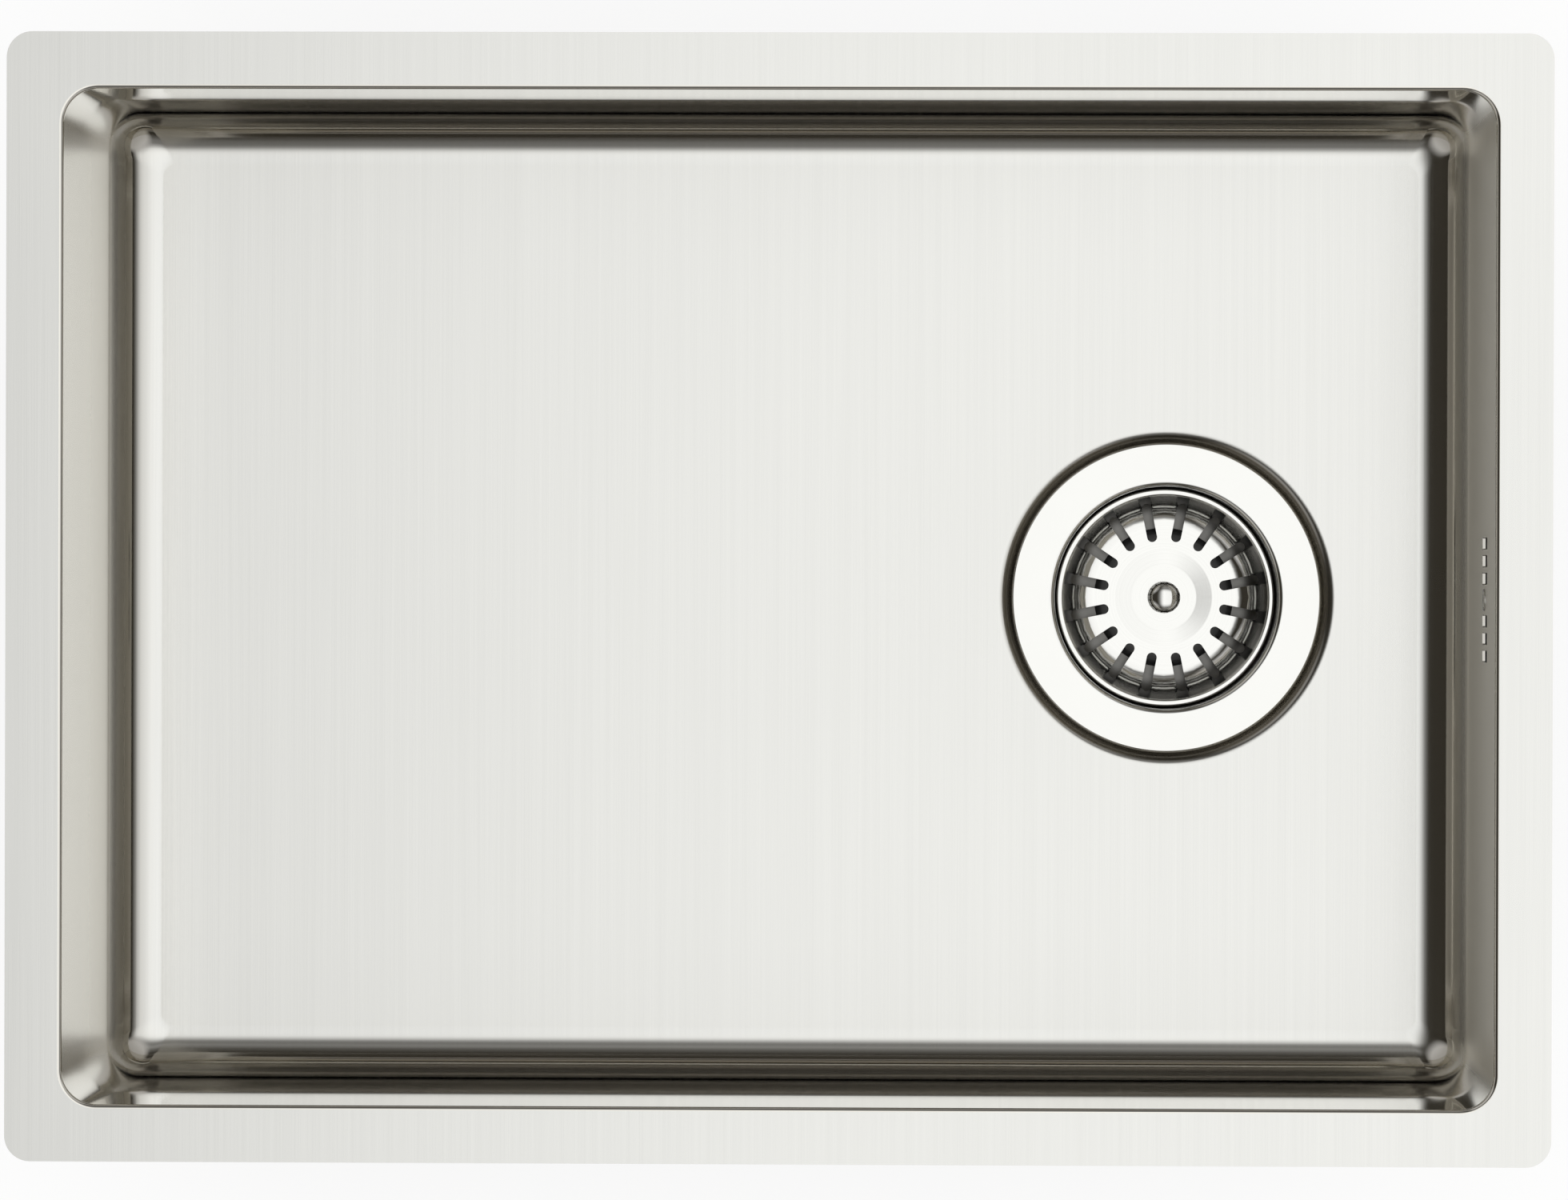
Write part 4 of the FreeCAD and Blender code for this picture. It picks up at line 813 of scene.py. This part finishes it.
# The lift-out basket, drawn from thin stainless sheet and polished, with a rolled ring at its rim, a
# dished floor and sixteen punched slots that climb the wall. It stands in the cup on the seal below it.
BASKET_SHEET = 0.0008
BASKET_SIDES = 384
BASKET_STEPS = 14
BASKET_FLOOR = SEAT - 0.0362
BASKET_TOP = BASKET_FLOOR + 0.023
RING_OUT = 0.04045
RING_DROP = 0.0026
RING_BEND = 0.0009
WALL_TOP = 0.0380
WALL_BASE = 0.0338
BASKET_CORNER = 0.008
DISH_RADIUS = 0.018
DISH_DEPTH = 0.0005
DISH_SLOPE = 0.0060
DISH_BEND = 0.006
SLOT_COUNT = 16
SLOT_WIDTH = 0.0037
SLOT_INNER = 0.02295
SLOT_OUTER = 0.03375
SLOT_ROWS = 28
INNER_MARGIN = 0.0009
OUTER_MARGIN = 0.0005
ROW_GAP = 4e-5
STEM_HOLE = 0.00255

basket_profile = bent([(RING_OUT, BASKET_TOP - RING_DROP), (RING_OUT, BASKET_TOP), (WALL_TOP, BASKET_TOP),
                       (WALL_BASE, BASKET_FLOOR), (DISH_RADIUS, BASKET_FLOOR),
                       (DISH_RADIUS - DISH_SLOPE, BASKET_FLOOR - DISH_DEPTH),
                       (STEM_HOLE, BASKET_FLOOR - DISH_DEPTH)],
                      [BASKET_SHEET, RING_BEND, BASKET_CORNER, DISH_BEND, DISH_BEND], BASKET_STEPS)
falls_from = np.argmin(np.abs(basket_profile - (WALL_TOP, BASKET_TOP)).sum(axis=1))
falling = basket_profile[falls_from:]
order = np.argsort(falling[:, 0])


def basket_height(across):
    """The basket's height over a distance from the axis, read along its profile."""
    return np.interp(across, falling[order, 0], falling[order, 1])


# The rows that the slots lie in are even in distance from the axis, with those of the bends between them.
low_reach = SLOT_INNER - SLOT_WIDTH / 2 - INNER_MARGIN
high_reach = SLOT_OUTER + SLOT_WIDTH / 2 + OUTER_MARGIN
inside = (basket_profile[:, 0] < high_reach - MICRON) & (basket_profile[:, 0] > low_reach + MICRON)
above = basket_profile[:np.flatnonzero(inside)[0]]
below = basket_profile[np.flatnonzero(inside)[-1] + 1:]
slot_rows = np.concatenate([np.linspace(high_reach, low_reach, SLOT_ROWS + 1), basket_profile[inside, 0]])
slot_rows = np.unique(np.round(slot_rows, 6))[::-1]
slot_rows = slot_rows[np.concatenate([[True], np.diff(slot_rows) < -ROW_GAP])]
basket_profile = np.concatenate([above, np.stack([slot_rows, basket_height(slot_rows)], 1), below])
basket_points = turned(basket_profile, BASKET_SIDES)
cell_sides = BASKET_SIDES // SLOT_COUNT
cells = []
for number in range(SLOT_COUNT):
    angle = 2 * np.pi * (number + 0.5) / SLOT_COUNT
    heading = np.array([np.cos(angle), np.sin(angle)])
    left = number * cell_sides
    cells.append((len(above), len(above) + len(slot_rows) - 1, left, left + cell_sides,
                  DRAIN + (SLOT_INNER + SLOT_OUTER) / 2 * heading, (SLOT_OUTER - SLOT_INNER) / 2 * heading,
                  0.0, SLOT_WIDTH / 2))


def on_basket(flat):
    """Lift plan points onto the basket's surface."""
    across = np.hypot(flat[:, 0] - DRAIN[0], flat[:, 1] - DRAIN[1])
    return np.stack([flat[:, 0], flat[:, 1], basket_height(across)], 1)


basket_points, basket_faces = punched(basket_points, basket_points[..., :2], cells, on_basket, 4)

# Shares of the dark reflection painted on the basket's wall, by the distance from the axis in parts of 50
# mm.
PARTS_A_METRE = 20.0
BASKET_REFLECTION_STOPS = [(0.0, 0.0), (0.62, 0.0), (0.665, 0.7), (0.672, 0.1),
              (0.684, 0.1), (0.690, 1.0), (0.752, 1.0), (0.758, 0.0)]
BASKET_WALL_REFLECTION = (0.03, 0.028, 0.024), (0.20, 0.19, 0.175)


def greys(stops):
    """A ramp's stops, each a place from 0 to 1 and a share as its grey."""
    return [(place, (share, share, share)) for place, share in stops]


def basket_steel():
    """Polished floor and rim; the wall between them has dark rings of painted reflection."""
    finish = Finish(bpy.data.materials.new("basket_steel"), Metallic=1.0)
    away = from_drain(finish)
    rings = lathe_rings(finish, away, 1900.0)
    # Drawn is the share of painted dark reflection on the basket's wall.
    drawn = finish.add("ShaderNodeValToRGB", {"stops": greys(BASKET_REFLECTION_STOPS)},
                       {"Fac": (away - height_of(finish)) * PARTS_A_METRE})
    colour = finish.blend(drawn, finish.blend(rings, *POLISHED), finish.blend(rings, *BASKET_WALL_REFLECTION))
    return finish.use(Base_Color=colour, Roughness=rings * 0.06 + drawn * 0.10 + 0.04,
                      Normal=finish.bump(rings, POLISH_DEPTH))


basket = build("basket_drawn", basket_points, basket_faces, "basket_shell", "basket",
               basket_steel())
thicken(basket, BASKET_SHEET)


# What the basket carries: a knob, turned from stainless bar and polished, is screwed on from above, and a
# rubber seal, its steel washer and the steel stem hang below. The stem's foot snaps into a slit collet of
# white acetal in the clamp screw.
KNOB_FOOT = BASKET_FLOOR - DISH_DEPTH
KNOB_TOP = KNOB_FOOT + 0.013
KNOB_THREAD = KNOB_FOOT + 0.007
KNOB_FLANGE = 0.0046
KNOB_WAIST = 0.0032
KNOB_HEAD = 0.0059
KNOB_CROWN = 0.0026
KNOB_BENDS = (0, 0, 0, 0.0005, 0.0018, 0.0016, 0.0006)
KNOB_SIDES = 72

knob_profile = bent([(0.0, KNOB_THREAD), (STEM_HOLE, KNOB_THREAD), (STEM_HOLE, KNOB_FOOT),
                     (KNOB_FLANGE, KNOB_FOOT), (KNOB_FLANGE, KNOB_FOOT + 0.0016),
                     (KNOB_WAIST, KNOB_FOOT + 0.0034), (KNOB_WAIST, KNOB_TOP - 0.0054),
                     (KNOB_HEAD, KNOB_TOP - 0.0034), (KNOB_HEAD, KNOB_TOP - KNOB_CROWN)], KNOB_BENDS, 8)

# The knob's crown is a quarter of an ellipse, from the head's edge up to the axis.
dome = np.linspace(np.pi / 2, 0, 22)
crown = np.stack([KNOB_HEAD * np.sin(dome), KNOB_TOP - KNOB_CROWN * (1 - np.cos(dome))], 1)
knob_profile = np.concatenate([knob_profile[:-1], crown])
knob_points, knob_faces = joined(
    (turned(knob_profile, KNOB_SIDES), grid_faces(len(knob_profile), KNOB_SIDES, True)))
weld(build("basket_knob_turned", knob_points, knob_faces, "basket_knob", "basket",
           polished_steel), 0.7)

seal_rubber = rubber("seal_rubber", (0.022, 0.022, 0.022), (0.040, 0.040, 0.039), 0.5)
for node in ("basket_stem", "seal_washer"):
    smoothed(node, "basket", screw_steel)
smoothed("basket_seal", "basket", seal_rubber)
collet_plastic = moulded("collet_plastic", (0.74, 0.74, 0.72), (0.82, 0.82, 0.80), 0.32)
smoothed("stem_collet", "plunger", collet_plastic)


# The overflow behind the right-hand wall: a moulded head with a hollow chamber is drawn against the wall
# by one steel screw from inside the bowl, with a rubber frame gasket between, and a brass insert takes
# the screw. The screw's head is slightly domed, with a cross pressed into it.
SCREW_FACE = 0.2492
SCREW_SEAT = 0.250
SCREW_END = 0.265
SCREW_HEAD_RADIUS = 0.004
SCREW_HEAD_EDGE = 0.0004
SCREW_HEAD_ROUND = 0.0005
SCREW_DOME = 0.00018
SCREW_SHANK = 0.0025
SCREW_POINT = (0.0006, 0.0008)
SCREW_SIDES = 96
SCREW_RINGS = 34
CROSS_HALF = 0.0005
CROSS_REACH = 0.0021
CROSS_DEPTH = 0.0006
CROSS_SIDE_SLOPE = 0.00015
CROSS_END_SLOPE = 0.0003

smoothed("overflow_head", "sink", housing_plastic)
smoothed("overflow_gasket", "sink", gasket_rubber)
smoothed("overflow_insert", "sink", insert_brass)

# The screw is a profile turned about its own axis, with a face that falls back by the square of the
# radius. The cross is pressed in where the smaller of a point's two offsets from the axis is within half
# the groove's width, and the larger within its reach.
face_radii = np.linspace(0, 1, SCREW_RINGS) ** 0.8 * (SCREW_HEAD_RADIUS - SCREW_HEAD_EDGE)
face_depths = SCREW_FACE + SCREW_DOME * (face_radii / SCREW_HEAD_RADIUS) ** 2
screw_profile = np.concatenate([
    np.stack([face_radii, face_depths], 1),
    [(SCREW_HEAD_RADIUS, SCREW_FACE + SCREW_HEAD_ROUND), (SCREW_HEAD_RADIUS, SCREW_SEAT),
     (SCREW_SHANK, SCREW_SEAT), (SCREW_SHANK, SCREW_END - SCREW_POINT[1]),
     (SCREW_SHANK - SCREW_POINT[0], SCREW_END), (0, SCREW_END)],
])
turn = np.linspace(0, 2 * np.pi, SCREW_SIDES, endpoint=False)
spots_y = screw_profile[:, :1] * np.cos(turn)
spots_z = screw_profile[:, :1] * np.sin(turn)
narrow = np.minimum(np.abs(spots_y), np.abs(spots_z))
reach = np.maximum(np.abs(spots_y), np.abs(spots_z))
cross = np.clip((CROSS_HALF - narrow) / CROSS_SIDE_SLOPE + 0.5, 0, 1)
cross *= np.clip((CROSS_REACH - reach) / CROSS_END_SLOPE + 0.5, 0, 1)
cross[SCREW_RINGS:] = 0
screw_points = np.stack([screw_profile[:, 1:] + CROSS_DEPTH * cross, spots_y, SLOT_LEVEL + spots_z], -1)
screw_points, screw_faces = joined((screw_points, grid_faces(len(screw_profile), SCREW_SIDES, True)))
weld(build("overflow_screw_turned", screw_points, screw_faces, "overflow_screw", "sink",
           screw_steel))


# The overflow's rigid pipe, extruded in light grey polypropylene and bent once: down behind the wall and
# along under the floor. A rubber ring and a ribbed nut at each end squeeze it into the mouldings.
PIPE_RADIUS = 0.0075
PIPE_BORE = 0.006
PIPE_BEND = 0.030
PIPE_DOWN_X = 0.2634
PIPE_LEVEL = -0.2126
PIPE_LOW_END = 0.2011
PIPE_HIGH_END = -0.0926
PIPE_SIDES = 64
PIPE_BEND_ROWS = 33
pipe_plastic = moulded("pipe_plastic", (0.56, 0.57, 0.58), (0.65, 0.66, 0.67), 0.36, 0.000008)
nut_plastic = moulded("nut_plastic", (0.10, 0.10, 0.108), (0.145, 0.145, 0.155), 0.45)


def pipe_surface():
    """A circle carried along the pipe's path, outside from end to end and back along the bore.

    The path is a straight run, a quarter circle and a second straight run, in the plane y = 0.
    """
    bend = np.linspace(0, np.pi / 2, PIPE_BEND_ROWS)
    path = np.concatenate([
        [(PIPE_LOW_END, PIPE_LEVEL)],
        np.stack([PIPE_DOWN_X - PIPE_BEND + PIPE_BEND * np.sin(bend),
                  PIPE_LEVEL + PIPE_BEND - PIPE_BEND * np.cos(bend)], 1),
        [(PIPE_DOWN_X, PIPE_HIGH_END)],
    ])
    heading = np.concatenate([[0], bend, [np.pi / 2]])
    turn = np.linspace(0, 2 * np.pi, PIPE_SIDES, endpoint=False)
    rows = []
    for radius, way in ((PIPE_RADIUS, slice(None)), (PIPE_BORE, slice(None, None, -1))):
        side = radius * np.cos(turn)
        x = path[way, :1] - np.sin(heading[way])[:, None] * side
        z = path[way, 1:] + np.cos(heading[way])[:, None] * side
        rows.append(np.stack([x, np.broadcast_to(radius * np.sin(turn), x.shape), z], -1))
    rows.append(rows[0][:1])
    return np.concatenate(rows)


pipe_points = pipe_surface()
pipe_points, pipe_faces = joined((pipe_points, grid_faces(len(pipe_points), PIPE_SIDES, True)))
weld(build("overflow_pipe_bent", pipe_points, pipe_faces, "overflow_pipe", "sink",
           pipe_plastic))
for end in ("upper", "lower"):
    smoothed(end + "_pipe_seal", "sink", seal_rubber)
    smoothed(end + "_pipe_nut", "sink", nut_plastic, 0.45)


# The studio: a pale floor under the sink, a soft overhead light that metal sees through the world's
# bright cap, and a lamp for everything that isn't metal. None of it belongs to the object.
FLOOR_HALF = 12.0
FLOOR_LEVEL = cad_box[0][2] - 0.0005
FLOOR_GLOW = 0.8
floor_mesh = bpy.data.meshes.new("studio_floor")
floor_mesh.from_pydata([(-FLOOR_HALF, -FLOOR_HALF, FLOOR_LEVEL), (FLOOR_HALF, -FLOOR_HALF, FLOOR_LEVEL),
                        (FLOOR_HALF, FLOOR_HALF, FLOOR_LEVEL), (-FLOOR_HALF, FLOOR_HALF, FLOOR_LEVEL)],
                       [], [(0, 1, 2, 3)])
floor = bpy.data.objects.new("studio_floor", floor_mesh)
bpy.context.scene.collection.objects.link(floor)


def floor_finish():
    """Pale paper that camera, glossy and transmission rays see almost white, shadows kept."""
    finish = Finish(bpy.data.materials.new("studio_floor"), Base_Color=(0.86, 0.86, 0.86), Roughness=0.9)
    camera_ray, glossy_ray, through_ray = (
        finish.add("ShaderNodeLightPath", {}, {}, "Is %s Ray" % kind)
        for kind in ("Camera", "Glossy", "Transmission"))
    seen = camera_ray + glossy_ray + through_ray
    glow = finish.add("ShaderNodeEmission", {}, {"Color": (1.0, 1.0, 1.0), "Strength": 1.0})
    paper = Shade(finish, finish.shader.outputs[0])
    mix = finish.add("ShaderNodeMixShader", {}, {0: seen * FLOOR_GLOW, 1: paper, 2: glow})
    finish.put(finish.tree.nodes["Material Output"].inputs["Surface"], mix)
    return finish.owner


floor_mesh.materials.append(floor_finish())

# What metal sees: one large soft light overhead, wider to the right than to the left, in dark surroundings
# with a paler band along the horizon and a weak light in each corner of the room. Stops are angles from
# straight up and shares of the light, and for the horizon the ray's rise and shares of the band.
ACROSS_STOPS = [
    (-90, 0.0), (-26, 0.0), (-20, 0.07), (-14, 0.26), (-9, 0.60), (-5, 0.86), (-1.5, 0.97), (1, 0.99),
    (4, 0.96), (18, 0.93), (28, 0.84), (36, 0.75), (44, 0.70), (52, 0.50), (58, 0.22), (62, 0.12),
    (66, 0.0)]
ALONG_STOPS = [
    (-90, 0.0), (-68, 0.01), (-59, 0.05), (-50, 0.13), (-42, 0.14), (-35, 0.35), (-29, 0.80), (-22, 1.0),
    (17, 1.0), (22, 0.93), (28, 0.50), (33, 0.17), (37, 0.15), (43, 0.22), (51, 0.08), (60, 0.01)]
HORIZON_STOPS = [(0.0, 1.0), (0.20, 0.9), (0.265, 0.7), (0.285, 0.0)]
CORNERS_FROM, CORNERS_TO = 0.15, 0.28
DARK_ROOM = (0.036, 0.032, 0.025)
SOFT_LIGHT = (1.14, 1.14, 1.12)
CORNER_LIGHT = (0.50, 0.49, 0.475)
HORIZON_BAND = (0.42, 0.41, 0.40)
sky = Finish(bpy.data.worlds.new("studio"))
direction = sky.add("ShaderNodeTexCoord", {}, {}, "Generated")
rightwards, backwards, upwards = (
    sky.add("ShaderNodeSeparateXYZ", {}, {0: direction}, axis) for axis in ("X", "Y", "Z"))

lit = []
for sideways, stops in ((rightwards, ACROSS_STOPS), (backwards, ALONG_STOPS)):
    angle = sky.add("ShaderNodeMath", {"operation": "ARCTAN2"}, {0: sideways, 1: upwards})
    shades = greys((degrees / 180 + 0.5, share) for degrees, share in stops)
    lit.append(sky.add("ShaderNodeValToRGB", {"stops": shades}, {"Fac": angle / np.pi + 0.5}))
horizon = sky.add("ShaderNodeValToRGB", {"stops": greys(HORIZON_STOPS)}, {"Fac": upwards})
aslant = sky.add("ShaderNodeMath", {"operation": "ABSOLUTE"}, {0: rightwards * backwards})
corners = sky.add("ShaderNodeMapRange", {},
                  {"Value": aslant, "From Min": CORNERS_FROM, "From Max": CORNERS_TO})
around = sky.blend(corners, sky.blend(lit[0] * lit[1], DARK_ROOM, SOFT_LIGHT), CORNER_LIGHT)
bpy.context.scene.world = sky.use(Color=sky.blend(horizon, around, HORIZON_BAND), Strength=1.0)

lamp_data = bpy.data.lights.new("overhead_lamp", "SUN")
lamp_data.energy = 2.3
lamp_data.angle = 0.9
lamp = bpy.data.objects.new("overhead_lamp", lamp_data)
lamp.visible_glossy = False
bpy.context.scene.collection.objects.link(lamp)

# The camera looks almost straight down from about 3 m, a little to the right of the middle.
EYE = Vector((0.0678, 0.0120, 3.000))
AIM = Vector((0.0022, -0.0005, 0.0))
PICTURE_UP = Vector((-0.00286, 1.0, 0.0))
camera_data = bpy.data.cameras.new("camera")
camera_data.lens = 197.5
camera_data.sensor_width = 36.0
camera_data.clip_end = 200.0
camera = bpy.data.objects.new("camera", camera_data)
back = (EYE - AIM).normalized()
right = PICTURE_UP.cross(back).normalized()
over = back.cross(right)
camera.matrix_world = Matrix.Translation(EYE) @ Matrix((right, over, back)).transposed().to_4x4()
bpy.context.scene.collection.objects.link(camera)
bpy.context.scene.camera = camera

bpy.context.scene.view_settings.view_transform = "Standard"
bpy.context.view_layer.update()
